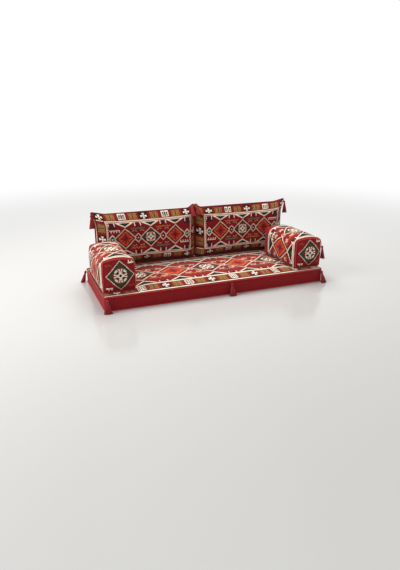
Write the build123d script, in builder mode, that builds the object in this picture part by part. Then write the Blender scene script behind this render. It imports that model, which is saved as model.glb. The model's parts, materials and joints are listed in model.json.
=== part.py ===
# Majlis floor sofa: a box mattress, two knife-edge back cushions and two box bolsters as armrests,
# all piped, zipped and tasselled. Millimetres, +X along the front, +Y to the back, +Z up.
# The origin is the middle of the mattress's underside.
from build123d import *
from math import atan2, cos, radians, sin
import os

# Driving dimensions of the mattress
mattress_length = 2000.0
mattress_depth = 812.0
mattress_height = 120.0
mattress_corner_radius = 26.0
seat_crown_rise = 22.0
seat_crown_corner_radius = 70.0

# Driving dimensions of the back cushions
back_width = 955.0
back_height = 488.0
back_thickness = 146.0
back_left_inset = 104.0
back_gap = 0.6
back_overhang = 2.0
back_border = 78.0
ear_out = 32.0
ear_up = 26.0
ear_reach = 90.0
inner_ear_up = 42.0
inner_ear_reach = 56.0

# Driving dimensions of the armrests
arm_width = 256.0
arm_height = 278.0
arm_length = 562.0
arm_arch_rise = 20.0
arm_side_bulge = 6.0
arm_swell = 7.0
arm_draw_in = 64.0
arm_edge_radius = 24.0
arm_foot_radius = 12.0
arm_end_crown = 12.0
arm_end_roll = 26.0
arm_front_inset = 92.0
arm_left_inset = 20.0
arm_right_overhang = 17.0

# Cloth, cord and play
cover_thickness = 2.4
kilim_thickness = 3.0
piping_radius = 4.0
clearance = 0.3

# Tassels
tassel_cord_radius = 1.6
tassel_cord_length = 12.0
tassel_head_radius = 11.0
tassel_head_length = 22.0
tassel_neck_radius = 7.0
tassel_neck_length = 4.0
tassel_skirt_length = 96.0
tassel_skirt_half_width = 25.0
tassel_skirt_half_depth = 17.0
tassel_floor_gap = 1.0
tassel_floor_half_width = 31.0
front_middle_tassel_x = 83.0
arm_tassel_cord_length = 46.0
back_left_inner_tassel_inset = 28.0
back_right_inner_tassel_inset = 12.0

# Zips
zip_tape_height = 24.0
zip_tape_thickness = 0.8
zip_coil_width = 5.0
zip_coil_height = 1.6
zip_stop_length = 4.0
zip_stop_width = 7.0
zip_stop_height = 2.6
slider_length = 13.0
slider_width = 10.0
slider_wall = 1.3
bridge_length = 7.0
bridge_width = 2.2
bridge_bar = 1.2
bridge_opening = 2.4
pull_length = 27.0
pull_width = 7.0
pull_thickness = 1.2
pull_cross_bar = 1.4
pull_eye_width = 3.4
pull_eye_length = 6.0
mattress_zip_length = 1700.0
back_zip_length = 760.0
arm_zip_length = 170.0
back_zip_height = 52.0
arm_zip_height = 60.0

os.makedirs("parts", exist_ok=True)

# Seam outlines, on which the piping cords are centred
seam_length = mattress_length - 2 * piping_radius
seam_depth = mattress_depth - 2 * piping_radius
cord_inset = piping_radius + clearance
band_bulge_share = 0.6
band_bulge = piping_radius * band_bulge_share
top_seam_z = mattress_height - cord_inset
bottom_seam_z = cord_inset
back_seam_width = back_width - 2 * piping_radius
back_seam_height = back_height - piping_radius
arm_seam_width = arm_width - 2 * piping_radius
arm_seam_height = arm_height - piping_radius

# Places of the cushions on the seat
seat_z = mattress_height
left_edge = -mattress_length / 2
right_edge = mattress_length / 2
front_edge = -mattress_depth / 2
rear_edge = mattress_depth / 2
back_centres = [left_edge + back_left_inset + back_width / 2]
back_centres.append(back_centres[0] + back_width + back_gap)
back_seam_y = rear_edge + back_overhang
back_face_y = back_seam_y - back_thickness / 2
arm_centres = [left_edge + arm_left_inset + arm_width / 2, right_edge + arm_right_overhang - arm_width / 2]
arm_front_y = front_edge + arm_front_inset
arm_rear_y = arm_front_y + arm_length


def save(piece, name):
    piece.part.label = name
    export_step(piece.part, f"parts/{name}.step")


# Mattress
def seat_crown(skin):
    # The free part of the seat swells up between the armrests and the back cushions.
    side_room = arm_width / 2 + arm_side_bulge + arm_swell
    crown_left = arm_centres[0] + side_room
    crown_right = arm_centres[1] - side_room
    crown_front = front_edge + 2 * cord_inset
    crown_rear = back_face_y - cord_inset
    centre = ((crown_left + crown_right) / 2, (crown_front + crown_rear) / 2)
    length, depth = crown_right - crown_left - 2 * skin, crown_rear - crown_front - 2 * skin
    # Shares of the rise, each with its inset as a share of the crown's depth
    rise_shares = [(-0.08, 0.0), (0.4, 0.05), (0.7, 0.11), (0.9, 0.2), (1.0, 0.34)]
    with BuildPart() as crown:
        for rise_share, inset_share in rise_shares:
            inset = depth * inset_share
            with BuildSketch(Plane.XY.offset(seat_z - skin + seat_crown_rise * rise_share)):
                with Locations(centre):
                    RectangleRounded(length - 2 * inset, depth - 2 * inset, seat_crown_corner_radius)
        loft(ruled=True)
    return crown.part


def rounded_block(inset, low, high):
    radius = mattress_corner_radius - inset
    with BuildPart() as block:
        with BuildSketch(Plane.XY.offset(low)):
            RectangleRounded(seam_length - 2 * inset, seam_depth - 2 * inset, radius)
        extrude(amount=high - low)
    return block.part


band_low = bottom_seam_z + cord_inset
band_high = top_seam_z - cord_inset
band_middle = (band_low + band_high) / 2
foam_low = cover_thickness
foam_high = mattress_height - kilim_thickness

with BuildPart() as mattress_foam:
    add(rounded_block(cord_inset, foam_low, foam_high))
    add(seat_crown(kilim_thickness))
save(mattress_foam, "mattress_foam")

with BuildPart() as mattress_top_panel:
    add(rounded_block(cord_inset, foam_high, mattress_height))
    add(seat_crown(0))
    add(seat_crown(kilim_thickness), mode=Mode.SUBTRACT)
save(mattress_top_panel, "mattress_top_panel")

with BuildPart() as mattress_bottom_panel:
    add(rounded_block(cord_inset, 0, foam_low))
save(mattress_bottom_panel, "mattress_bottom_panel")

# The band swells between its two seams, with a flat stretch where the zip is sewn on
band_rows = [
    (band_low, 0),
    (band_middle - zip_tape_height / 2, band_bulge),
    (band_middle + zip_tape_height / 2, band_bulge),
    (band_high, 0),
]
with BuildPart() as mattress_side_band:
    for height, bulge in band_rows:
        with BuildSketch(Plane.XY.offset(height)):
            RectangleRounded(
                seam_length + 2 * bulge, seam_depth + 2 * bulge, mattress_corner_radius + bulge
            )
    loft(ruled=True)
    add(rounded_block(cord_inset, band_low, band_high), mode=Mode.SUBTRACT)
save(mattress_side_band, "mattress_side_band")


def cord(name, seam):
    # A piping cord of round section along a closed seam
    with BuildPart() as piping:
        with BuildSketch(Plane(origin=seam @ 0, z_dir=seam % 0)):
            Circle(piping_radius)
        sweep(path=seam)
    save(piping, name)


def mattress_seam(height):
    with BuildSketch(Plane.XY.offset(height)) as outline:
        RectangleRounded(seam_length, seam_depth, mattress_corner_radius)
    return outline.sketch.face().outer_wire()


cord("mattress_top_piping", mattress_seam(top_seam_z))
cord("mattress_bottom_piping", mattress_seam(bottom_seam_z))


# Back cushions
# Each row of a half cushion: share of its depth, inset of the sides and top, height of the foot, and
# share of the ear that is left there. The foot dips below the seat, where it is cut flat.
foot_dip = 3.0
foot_corner_radius = 12.0
ear_tip_radius = 9.0
ear_bend_radius = 60.0
corner_rounding_share = 0.2
inner_ear_shortening = 1.4
rear_rows = [
    (0.0, cord_inset, 2 * cord_inset, 0.95),
    (0.08, cord_inset * 1.1, 1.75 * cord_inset, 0.85),
    (0.3, back_border * 0.14, -foot_dip, 0.5),
    (0.5, back_border * 0.29, -foot_dip, 0.24),
    (0.68, back_border * 0.48, -foot_dip, 0.1),
    (0.84, back_border * 0.72, foot_dip, 0.04),
    (0.95, back_border, back_border * 0.3, 0.02),
]
front_rows = rear_rows + [(1.0, back_border * 2.1, back_border * 1.4, 0.01)]


def pillow_outline(centre, inset, foot, ear_share, outer_side):
    # Ears pull both upper corners up. The outer one is pulled out sideways too, and the inner one,
    # which is pressed against the other cushion, stands steeper.
    half, top = back_seam_width / 2 - inset, back_seam_height - inset
    shortening = min(inset, cord_inset)
    out, up = ear_out * ear_share, ear_up * ear_share
    inner_up = (inner_ear_up - shortening) * ear_share
    foot_radius = foot_corner_radius + inset * corner_rounding_share
    tip_radius = ear_tip_radius + inset * corner_rounding_share
    reach, inner_reach = ear_reach - shortening, inner_ear_reach - inner_ear_shortening * shortening
    points = [
        (half, foot),
        (half, top + inner_up),
        (half - inner_reach, top),
        (-half + reach, top),
        (-half - out, top + up),
        (-half, top - reach),
        (-half, foot),
    ]
    radii = [foot_radius, tip_radius, ear_bend_radius, ear_bend_radius, tip_radius]
    radii += [ear_bend_radius, foot_radius]
    return [(centre - outer_side * x, seat_z + y) for x, y in points], radii


def back_half(centre, outer_side, facing, rows, skin):
    # One half of the cushion, from its seam to its face. Facing is 1 for the front, -1 for the rear.
    with BuildPart() as half:
        for depth_share, inset, foot, ear_share in rows:
            depth = facing * (back_thickness / 2 - skin) * depth_share
            with BuildSketch(Plane.XZ.offset(depth - back_seam_y)):
                with BuildLine():
                    points, radii = pillow_outline(centre, inset + skin, foot + skin, ear_share, outer_side)
                    FilletPolyline(*points, radius=radii, close=True)
                make_face()
        loft(ruled=True)
        split(bisect_by=Plane.XY.offset(seat_z + skin), keep=Keep.TOP)
    return half.part


def back_cushion(name, centre, outer_side):
    front_fill = back_half(centre, outer_side, 1, front_rows, cover_thickness)
    rear_fill = back_half(centre, outer_side, -1, rear_rows, cover_thickness)
    with BuildPart() as fill:
        add(front_fill)
        add(rear_fill)
    save(fill, f"{name}_fill")
    with BuildPart() as front_panel:
        add(back_half(centre, outer_side, 1, front_rows, 0))
        add(front_fill, mode=Mode.SUBTRACT)
    save(front_panel, f"{name}_front_panel")
    with BuildPart() as rear_panel:
        add(back_half(centre, outer_side, -1, rear_rows, 0))
        add(rear_fill, mode=Mode.SUBTRACT)
    save(rear_panel, f"{name}_rear_panel")
    with BuildSketch(Plane.XZ.offset(-back_seam_y)) as outline:
        with BuildLine():
            points, radii = pillow_outline(centre, 0, cord_inset, 1.0, outer_side)
            FilletPolyline(*points, radius=radii, close=True)
        make_face()
    cord(f"{name}_piping", outline.sketch.face().outer_wire())


back_names = ["back_left", "back_right"]
outer_sides = [-1, 1]
for name, centre, outer_side in zip(back_names, back_centres, outer_sides):
    back_cushion(name, centre, outer_side)


# Armrests
# Share of each side's half run that its bend takes up, and how far a swelling sleeve rises more at
# the middle of its arch than at its sides
arm_bend_share = 0.55
arm_arch_swell_share = 0.8
# Rows of the sleeve from its seam inwards: share of the draw-in, inset and height of the foot
sleeve_rows = [
    (0.0, cord_inset, 2 * cord_inset),
    (0.2, cord_inset / 3, cord_inset),
    (0.55, -arm_swell * 0.7, 0.0),
    (1.0, -arm_swell, 0.0),
]
# Rows of an end panel from its seam outwards: share of the crown, inset and height of the foot
end_rows = [
    (0.0, cord_inset, 2 * cord_inset),
    (0.4, cord_inset + arm_end_roll * 0.12, 2 * cord_inset),
    (0.8, cord_inset + arm_end_roll * 0.45, 2 * cord_inset + arm_end_roll * 0.4),
    (1.0, cord_inset + arm_end_roll, 2 * cord_inset + arm_end_roll),
]


def arm_outline(centre, inset, foot):
    # Flat foot, swelling sides and an arched top, each side and the arch turning at its middle
    half, shoulder = arm_seam_width / 2 - inset, arm_seam_height - arm_arch_rise - inset
    rise = arm_arch_rise + arm_arch_swell_share * max(-inset, 0)
    side_run = (shoulder - foot) / 2
    side_radius = arm_bend_share * side_run**2 / arm_side_bulge
    arch_radius = arm_bend_share * half**2 / rise
    swollen = half + arm_side_bulge
    points = [
        (-half, foot),
        (half, foot),
        (swollen, foot + side_run),
        (half, shoulder),
        (0, shoulder + rise),
        (-half, shoulder),
        (-swollen, foot + side_run),
    ]
    radii = [arm_foot_radius, arm_foot_radius, side_radius, arm_edge_radius, arch_radius]
    radii += [arm_edge_radius, side_radius]
    return [(centre + x, seat_z + z) for x, z in points], radii


def arm_section(centre, y, inset, foot):
    points, radii = arm_outline(centre, inset, foot)
    with BuildSketch(Plane.XZ.offset(-y)) as section:
        with BuildLine():
            FilletPolyline(*points, radius=radii, close=True)
        make_face()
    return section.sketch.face()


def stations(seam_y, inward, reach, rows, skin):
    # Places, insets and feet of sections, from a seam plane inwards or outwards
    return [
        (seam_y + inward * (reach - skin) * reach_share, inset + skin, foot + skin)
        for reach_share, inset, foot in rows
    ]


def arm_form(centre, places):
    with BuildPart() as piece:
        for y, inset, foot in places:
            add(arm_section(centre, y, inset, foot))
        loft(ruled=True)
    return piece.part


def sleeve_places(skin):
    front = stations(arm_front_y, 1, arm_draw_in, sleeve_rows, skin)
    rear = stations(arm_rear_y, -1, arm_draw_in, sleeve_rows, skin)
    return front + rear[::-1]


def armrest(name, centre):
    skin = cover_thickness
    front_cap = stations(arm_front_y, -1, arm_end_crown, end_rows, skin)
    rear_cap = stations(arm_rear_y, 1, arm_end_crown, end_rows, skin)
    with BuildPart() as fill:
        add(arm_form(centre, front_cap[:0:-1] + sleeve_places(skin) + rear_cap[1:]))
    save(fill, f"{name}_fill")
    with BuildPart() as sleeve:
        add(arm_form(centre, sleeve_places(0)))
        add(arm_form(centre, sleeve_places(skin)), mode=Mode.SUBTRACT)
    save(sleeve, f"{name}_sleeve")
    for end, y, outward, cap in [("front", arm_front_y, -1, front_cap), ("rear", arm_rear_y, 1, rear_cap)]:
        with BuildPart() as panel:
            add(arm_form(centre, stations(y, outward, arm_end_crown, end_rows, 0)))
            add(arm_form(centre, cap), mode=Mode.SUBTRACT)
        save(panel, f"{name}_{end}_panel")
        cord(f"{name}_{end}_piping", arm_section(centre, y, 0, cord_inset).outer_wire())


arm_names = ["arm_left", "arm_right"]
for name, centre in zip(arm_names, arm_centres):
    armrest(name, centre)


# Tassels
# Leans from the vertical, of the head and of the skirt, and azimuths are in degrees
mattress_tassel_leans = (20.0, 16.0)
outer_tassel_leans = (30.0, 4.0)
inner_tassel_leans = (64.0, 38.0)
arm_tassel_leans = (16.0, 6.0)
rightward, rearward, frontward = 0.0, 90.0, 270.0
tassel_head_run = tassel_head_length + tassel_neck_length
piping_to_pivot = piping_radius + clearance + tassel_cord_radius


def leaning(azimuth, lean):
    # Unit vector down a tassel that leans towards an azimuth
    ahead = Vector(cos(radians(azimuth)), sin(radians(azimuth)), 0)
    return ahead * sin(radians(lean)) - Vector(0, 0, 1) * cos(radians(lean))


def tassel(name, pivot, azimuth, leans, cord_length, skirt_length, half_width, half_depth):
    # A cord from its sewn end, a wound head and neck, and a flattened skirt of threads that hangs at
    # its own lean and is cut off where it meets the floor
    pivot = Vector(*pivot)
    head_down, skirt_down = (leaning(azimuth, lean) for lean in leans)
    sideways = Vector(-sin(radians(azimuth)), cos(radians(azimuth)), 0)
    neck_top = cord_length + tassel_head_length
    skirt_top = neck_top + tassel_neck_length
    throat = pivot + head_down * skirt_top
    with BuildPart() as piece:
        with BuildSketch(Plane(origin=throat, x_dir=sideways, z_dir=skirt_down)):
            Circle(tassel_neck_radius)
        hem = throat + skirt_down * skirt_length
        with BuildSketch(Plane(origin=hem, x_dir=sideways, z_dir=skirt_down)):
            Ellipse(half_width, half_depth)
        loft(ruled=True)
        split(bisect_by=Plane.XY.offset(tassel_floor_gap), keep=Keep.TOP)
        with Locations(throat):
            Sphere(tassel_neck_radius + clearance)
        with BuildSketch(Plane(origin=pivot, x_dir=sideways.cross(head_down), z_dir=sideways)):
            with BuildLine():
                RadiusArc((0, tassel_cord_radius), (tassel_cord_radius, 0), tassel_cord_radius)
                Line((tassel_cord_radius, 0), (tassel_cord_radius, -cord_length))
                ThreePointArc(
                    (tassel_cord_radius, -cord_length),
                    (tassel_head_radius, -cord_length - tassel_head_length / 2),
                    (tassel_neck_radius, -neck_top),
                )
                Line((tassel_neck_radius, -neck_top), (tassel_neck_radius, -skirt_top))
                Line((tassel_neck_radius, -skirt_top), (0, -skirt_top))
                Line((0, -skirt_top), (0, tassel_cord_radius))
            make_face()
        revolve(axis=Axis(pivot, head_down))
    save(piece, name)


# Each row: name, pivot, azimuth it leans to, leans, length of cord, and length, half width and half
# depth of the skirt
tassels = []
hanging_skirt = (tassel_skirt_length, tassel_skirt_half_width, tassel_skirt_half_depth)

# Those of the mattress hang over its top piping, and their skirts spread out on the floor
corner_x = seam_length / 2 - mattress_corner_radius
corner_y = seam_depth / 2 - mattress_corner_radius
mattress_tassel_places = [
    ("front_left", -corner_x, -corner_y, 262.0),
    ("front_middle", front_middle_tassel_x, -corner_y, frontward),
    ("front_right", corner_x, -corner_y, 288.0),
    ("rear_left", -corner_x, corner_y, 162.0),
    ("rear_middle", front_middle_tassel_x, corner_y, rearward),
    ("rear_right", corner_x, corner_y, 18.0),
]
head_lean, floor_lean = (radians(lean) for lean in mattress_tassel_leans)
throat_z = top_seam_z - (tassel_cord_length + tassel_head_run) * cos(head_lean)
hem_rise = tassel_skirt_half_depth * sin(floor_lean)
floor_skirt_length = (throat_z - tassel_floor_gap + hem_rise) / cos(floor_lean)
floor_skirt = (floor_skirt_length, tassel_floor_half_width, tassel_skirt_half_depth)
for place, x, y, azimuth in mattress_tassel_places:
    reach = mattress_corner_radius + piping_to_pivot
    pivot = (x + reach * cos(radians(azimuth)), y + reach * sin(radians(azimuth)), top_seam_z)
    name = f"mattress_tassel_{place}"
    tassels.append((name, pivot, azimuth, mattress_tassel_leans, tassel_cord_length, *floor_skirt))


def rounding_side(outline, corner, outward):
    # The outermost point of an outline's rounded corner, on the side outward
    points, radii = outline
    before, vertex, after = (Vector(*points[corner + step]) for step in (-1, 0, 1))
    to_before, to_after = (before - vertex).normalized(), (after - vertex).normalized()
    half_turn = radians(to_before.get_angle(to_after) / 2)
    centre = vertex + (to_before + to_after).normalized() * (radii[corner] / sin(half_turn))
    return centre.X + outward * radii[corner], centre.Y


# Each back cushion has one at its outer ear, in front of the cord, and one on the slope of its inner
# ear, which lies over the slope of the border
inner_slope = atan2(inner_ear_up, inner_ear_reach)
lift = piping_to_pivot / 2**0.5
inner_insets = [back_left_inner_tassel_inset, back_right_inner_tassel_inset]
for name, centre, outer_side, inset in zip(back_names, back_centres, outer_sides, inner_insets):
    outline = pillow_outline(centre, 0, cord_inset, 1.0, outer_side)
    ear_x, ear_z = rounding_side(outline, 4, outer_side)
    outer_pivot = (ear_x, back_seam_y - piping_to_pivot, ear_z)
    row = (outer_pivot, frontward, outer_tassel_leans, tassel_cord_length, *hanging_skirt)
    tassels.append((f"{name}_tassel_outer", *row))
    slope_x = centre - outer_side * (back_seam_width / 2 - inset)
    slope_z = seat_z + back_seam_height + inner_ear_up * (1 - inset / inner_ear_reach)
    inner_x, inner_z = slope_x + outer_side * lift * sin(inner_slope), slope_z + lift * cos(inner_slope)
    inner_pivot = (inner_x, back_seam_y - lift, inner_z)
    row = (inner_pivot, frontward, inner_tassel_leans, tassel_cord_length, *hanging_skirt)
    tassels.append((f"{name}_tassel_inner", *row))

# Each armrest has one on its right side, the right armrest's at the front and the left's at the rear
for name, centre, end_y in zip(arm_names, arm_centres, [arm_rear_y, arm_front_y]):
    edge_x, edge_z = rounding_side(arm_outline(centre, 0, cord_inset), 3, 1)
    pivot = (edge_x + piping_to_pivot, end_y, edge_z)
    row = (pivot, rightward, arm_tassel_leans, arm_tassel_cord_length, *hanging_skirt)
    tassels.append((f"{name}_tassel", *row))

for row in tassels:
    tassel(*row)


# Zips, each on a flat stretch of cloth that faces the rear
def rear_sketch(y):
    return Plane.XZ.offset(-y)


def zip_chain(name, centre_x, face_y, height, length):
    # Tape, closed coil and the stops at its two ends
    tape_y = face_y + zip_tape_thickness
    with BuildPart() as chain:
        with BuildSketch(rear_sketch(face_y)):
            with Locations((centre_x, height)):
                RectangleRounded(length, zip_tape_height, zip_stop_length / 2)
        extrude(amount=-zip_tape_thickness)
        with BuildSketch(rear_sketch(tape_y)):
            with Locations((centre_x, height)):
                Rectangle(length - 2 * zip_stop_length, zip_coil_width)
        extrude(amount=-zip_coil_height)
        chamfer(chain.faces().sort_by(Axis.Y)[-1].edges().filter_by(Axis.X), zip_coil_height / 2)
        with BuildSketch(rear_sketch(tape_y)):
            for side in (-1, 1):
                with Locations((centre_x + side * (length / 2 - 1.5 * zip_stop_length), height)):
                    Rectangle(zip_stop_length, zip_stop_width)
        extrude(amount=-zip_stop_height)
    save(chain, f"{name}_zip")


slider_base = zip_tape_thickness + clearance
slider_top = zip_tape_thickness + zip_coil_height + clearance + slider_wall
pull_axis = slider_top + bridge_opening / 2


def slider_rest_x(centre_x, length):
    return centre_x + length / 2 - 2 * zip_stop_length - clearance - slider_length / 2


def zip_travel(length):
    return length - 4 * zip_stop_length - 2 * clearance - slider_length


def zip_slider(name, centre_x, face_y, height, length):
    # The body straddles the coil, and a bridge on its back holds the pull
    x = slider_rest_x(centre_x, length)
    groove_width = zip_coil_width + 2 * clearance
    groove_top = zip_tape_thickness + zip_coil_height + clearance
    with BuildPart() as slider:
        with BuildSketch(rear_sketch(face_y + slider_base)):
            with Locations((x, height)):
                RectangleRounded(slider_length, slider_width, slider_width / 4)
        extrude(amount=slider_base - slider_top)
        with BuildSketch(rear_sketch(face_y + slider_base)):
            with Locations((x, height)):
                Rectangle(slider_length, groove_width)
        extrude(amount=slider_base - groove_top, mode=Mode.SUBTRACT)
        with BuildSketch(rear_sketch(face_y + slider_top)):
            with Locations((x, height)):
                Rectangle(bridge_length, bridge_width)
        extrude(amount=-bridge_opening - bridge_bar)
        with BuildSketch(rear_sketch(face_y + slider_top)):
            with Locations((x, height)):
                Rectangle(bridge_length - 2 * bridge_bar, bridge_width)
        extrude(amount=-bridge_opening, mode=Mode.SUBTRACT)
        fillet(slider.faces().sort_by(Axis.Y)[-1].edges().filter_by(Axis.Z), bridge_bar / 2)
    save(slider, f"{name}_zip_slider")


def zip_pull(name, centre_x, face_y, height, length):
    # A flat tab whose cross bar turns in the slider's bridge
    x = slider_rest_x(centre_x, length) + pull_cross_bar / 2
    eye_x = x - pull_cross_bar - pull_eye_length / 2
    with BuildPart() as pull:
        with BuildSketch(rear_sketch(face_y + pull_axis - pull_thickness / 2)):
            with Locations((x - pull_length / 2, height)):
                RectangleRounded(pull_length, pull_width, pull_cross_bar / 2)
            with Locations((eye_x, height)):
                RectangleRounded(pull_eye_length, pull_eye_width, pull_cross_bar / 2, mode=Mode.SUBTRACT)
            with Locations((x - pull_length + pull_width / 2, height)):
                Circle(pull_width / 4, mode=Mode.SUBTRACT)
        extrude(amount=-pull_thickness)
    save(pull, f"{name}_zip_pull")


band_face_y = seam_depth / 2 + band_bulge
back_rear_y = back_seam_y + back_thickness / 2 * rear_rows[-1][0]
zips = [("mattress", 0.0, band_face_y, band_middle, mattress_zip_length)]
for name, centre in zip(back_names, back_centres):
    zips.append((name, centre, back_rear_y, seat_z + back_zip_height, back_zip_length))
for name, centre in zip(arm_names, arm_centres):
    zips.append((name, centre, arm_rear_y + arm_end_crown, seat_z + arm_zip_height, arm_zip_length))
for row in zips:
    zip_chain(*row)
    zip_slider(*row)
    zip_pull(*row)
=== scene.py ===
# Majlis floor sofa: looks for the mattress, two back cushions and two armrests, in kilim cloth and red cotton
import bmesh
import bpy
import json
import math
import numpy as np
from mathutils import Matrix, Vector
from mathutils.noise import noise


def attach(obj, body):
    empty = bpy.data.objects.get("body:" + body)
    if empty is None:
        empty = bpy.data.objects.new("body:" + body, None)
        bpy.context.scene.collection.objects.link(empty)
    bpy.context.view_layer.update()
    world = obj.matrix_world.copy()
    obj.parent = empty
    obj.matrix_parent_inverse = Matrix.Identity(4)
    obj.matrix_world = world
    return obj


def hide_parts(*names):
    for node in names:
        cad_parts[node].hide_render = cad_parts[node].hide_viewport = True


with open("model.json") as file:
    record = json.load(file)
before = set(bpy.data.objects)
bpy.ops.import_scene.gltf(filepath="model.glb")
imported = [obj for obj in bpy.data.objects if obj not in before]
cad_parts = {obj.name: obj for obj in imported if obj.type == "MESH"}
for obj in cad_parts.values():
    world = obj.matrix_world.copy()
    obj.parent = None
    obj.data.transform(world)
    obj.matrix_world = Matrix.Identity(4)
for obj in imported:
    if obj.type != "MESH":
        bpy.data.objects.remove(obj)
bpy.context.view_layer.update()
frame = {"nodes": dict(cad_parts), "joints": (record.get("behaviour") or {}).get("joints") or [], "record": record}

scene = bpy.context.scene
mm = 0.001
print("frame loaded:", len(frame["nodes"]), "nodes")

# Camera at the photograph's viewing angle
cameraPlan = {"place": (-1.630, -3.969, 1.487), "yaw": 21.8, "pitch": 19.46, "roll": -0.07,
              "lens": 31.24, "sensor": 36.0, "shiftY": -0.0018}
camera = bpy.data.objects.new("camera", bpy.data.cameras.new("camera"))
scene.collection.objects.link(camera)
camera.data.lens = cameraPlan["lens"]
camera.data.sensor_width = cameraPlan["sensor"]
camera.data.shift_y = cameraPlan["shiftY"]
camera.matrix_world = (Matrix.Translation(cameraPlan["place"])
                       @ Matrix.Rotation(math.radians(-cameraPlan["yaw"]), 4, "Z")
                       @ Matrix.Rotation(math.radians(90 - cameraPlan["pitch"]), 4, "X")
                       @ Matrix.Rotation(math.radians(cameraPlan["roll"]), 4, "Z"))
scene.camera = camera


# Materials
def hexColour(text):
    # sRGB hex to linear
    parts = [int(text[place:place + 2], 16) / 255 for place in (0, 2, 4)]
    return tuple(part / 12.92 if part <= 0.04045 else ((part + 0.055) / 1.055) ** 2.4 for part in parts) + (1.0,)


def addNode(tree, kind, inputs=(), **settings):
    # One node with its settings. Each input is a value, a socket to link, or arithmetic
    # such as ("ADD", u, ("SINE", v)), which is added as nodes of its own
    node = tree.nodes.new(kind)
    for key, value in settings.items():
        setattr(node, key, value)
    for place, value in (inputs.items() if isinstance(inputs, dict) else enumerate(inputs)):
        if isinstance(value, tuple) and isinstance(value[0], str):
            value = addNode(tree, "ShaderNodeMath", value[1:], operation=value[0]).outputs[0]
        if isinstance(value, bpy.types.NodeSocket):
            tree.links.new(value, node.inputs[place])
        elif value is not None:
            node.inputs[place].default_value = value
    return node


def newMaterial(name):
    material = bpy.data.materials.new(name)
    material.use_nodes = True
    material.node_tree.nodes.clear()
    return material, material.node_tree


yarn = {
    "fieldRed": "86121A", "brightRed": "B01E25", "plum": "4A1024", "violet": "5A1838", "borderBrown": "5C1014",
    "cream": "F2E0CA", "rose": "E8C6B0", "pink": "D9A890", "tan": "C47A3C", "orange": "CC5226", "rust": "A03C1C",
    "ember": "A92A1C", "darkGreen": "2F3D24", "green": "1F5438", "olive": "8A7638", "greyGreen": "76805F",
    "black": "160A08",
}


def lay(tree, under, mask, over):
    # One yarn laid over another where the mask is 1; inputs 6 and 7 are the mixer's two colours
    under, over = (hexColour(yarn[colour]) if isinstance(colour, str) else colour for colour in (under, over))
    return addNode(tree, "ShaderNodeMix", {"Factor": mask, 6: under, 7: over}, data_type="RGBA").outputs[2]


def both(*masks):
    # 1 where every mask is 1
    result = masks[0]
    for mask in masks[1:]:
        result = ("MULTIPLY", result, mask)
    return result


def fromCentre(tree, place, centre):
    # How far a place lies from a motif's middle, sideways and upwards
    away = addNode(tree, "ShaderNodeVectorMath", (place, (*centre, 0)), operation="SUBTRACT").outputs[0]
    return addNode(tree, "ShaderNodeVectorMath", (away,), operation="ABSOLUTE").outputs[0]


def diamond(tree, place, centre, half):
    # 0 in the middle of a lozenge, 1 on its edge
    return addNode(tree, "ShaderNodeVectorMath", (fromCentre(tree, place, centre), (1 / half[0], 1 / half[1], 0)),
                   operation="DOT_PRODUCT").outputs["Value"]


def oblong(tree, place, centre, half):
    # 1 inside an upright oblong
    axes = addNode(tree, "ShaderNodeSeparateXYZ", (fromCentre(tree, place, centre),)).outputs
    return both(("LESS_THAN", axes[0], half[0]), ("LESS_THAN", axes[1], half[1]))


def layOblongs(tree, under, place, oblongs):
    for centre, half, colour in oblongs:
        under = lay(tree, under, oblong(tree, place, centre, half), colour)
    return under


def rings(tree, measure, bands):
    # Yarn by the distance from a motif's middle: (start, yarn) pairs with hard steps
    ramp = addNode(tree, "ShaderNodeValToRGB", (measure,))
    ramp.color_ramp.interpolation = "CONSTANT"
    for place, (start, colour) in enumerate(bands):
        stop = ramp.color_ramp.elements[place] if place < 2 else ramp.color_ramp.elements.new(start)
        stop.position, stop.color = start, hexColour(yarn[colour])
    return ramp.outputs[0]


# Motifs that all covers share. The field's and the tiles' sizes are millimetres on the cloth,
# those of the flower and the star are shares of the motif
fieldMotifs = {"patchIn": (48, 46), "patchHalf": (34, 30), "waveStep": 17.0, "waveSlope": 0.8, "chainIn": 60.0,
               "zigzags": ((9.0, 74.0, "rust", "darkGreen"), (4.5, 66.0, "tan", "greyGreen")),
               "dashIn": 22, "dashMiddle": 36.0, "dashHalf": 20.0, "combBar": 4.5, "combTooth": 10,
               "toothStep": 12.0, "toothWidth": 5.0, "bitBelow": 16, "bitRise": 6.0, "bitHalf": 25.0,
               "stripIn": 24, "stripHalf": (15, 34), "barAside": 26, "barIn": 32, "barHalf": (4.2, 24),
               "triangleIn": 18, "footIn": 24, "triangleBlack": 0.34,
               "small": [(0.0, "pink"), (0.22, "fieldRed"), (0.4, "black"), (0.74, "rose")],
               "smallEnd": [(0.0, "cream"), (0.24, "green"), (0.7, "cream")]}
flowerMotif = {"blackEdge": 1.6, "cornerCut": 0.62, "cornerReach": 1.26, "slotHalf": 0.1, "slotFrom": 0.62,
               "nickSlope": 0.44, "nickHalf": 0.085, "nickFrom": 0.55,
               "lozenges": (((0.42, 0.4), (0.24, 0.24), "plum"), ((0, 0), (0.26, 0.26), "black"))}
starMotif = {"orangeFrom": 0.4, "rustEdge": 2.4, "blackEdge": 2.1, "slantHalf": 0.16, "slantReach": 0.72,
             "rayHalf": 0.2, "rayReach": 1.02,
             "oblongs": (((0.62, 0.0), (0.12, 0.3), "brightRed"), ((0.0, 0.0), (0.44, 0.12), "violet"))}
frameMotif = {"lineHalf": 0.7, "notchIn": 1.15, "notchHalf": 0.45, "notchStep": 10.0, "notchWidth": 5.5}
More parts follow.
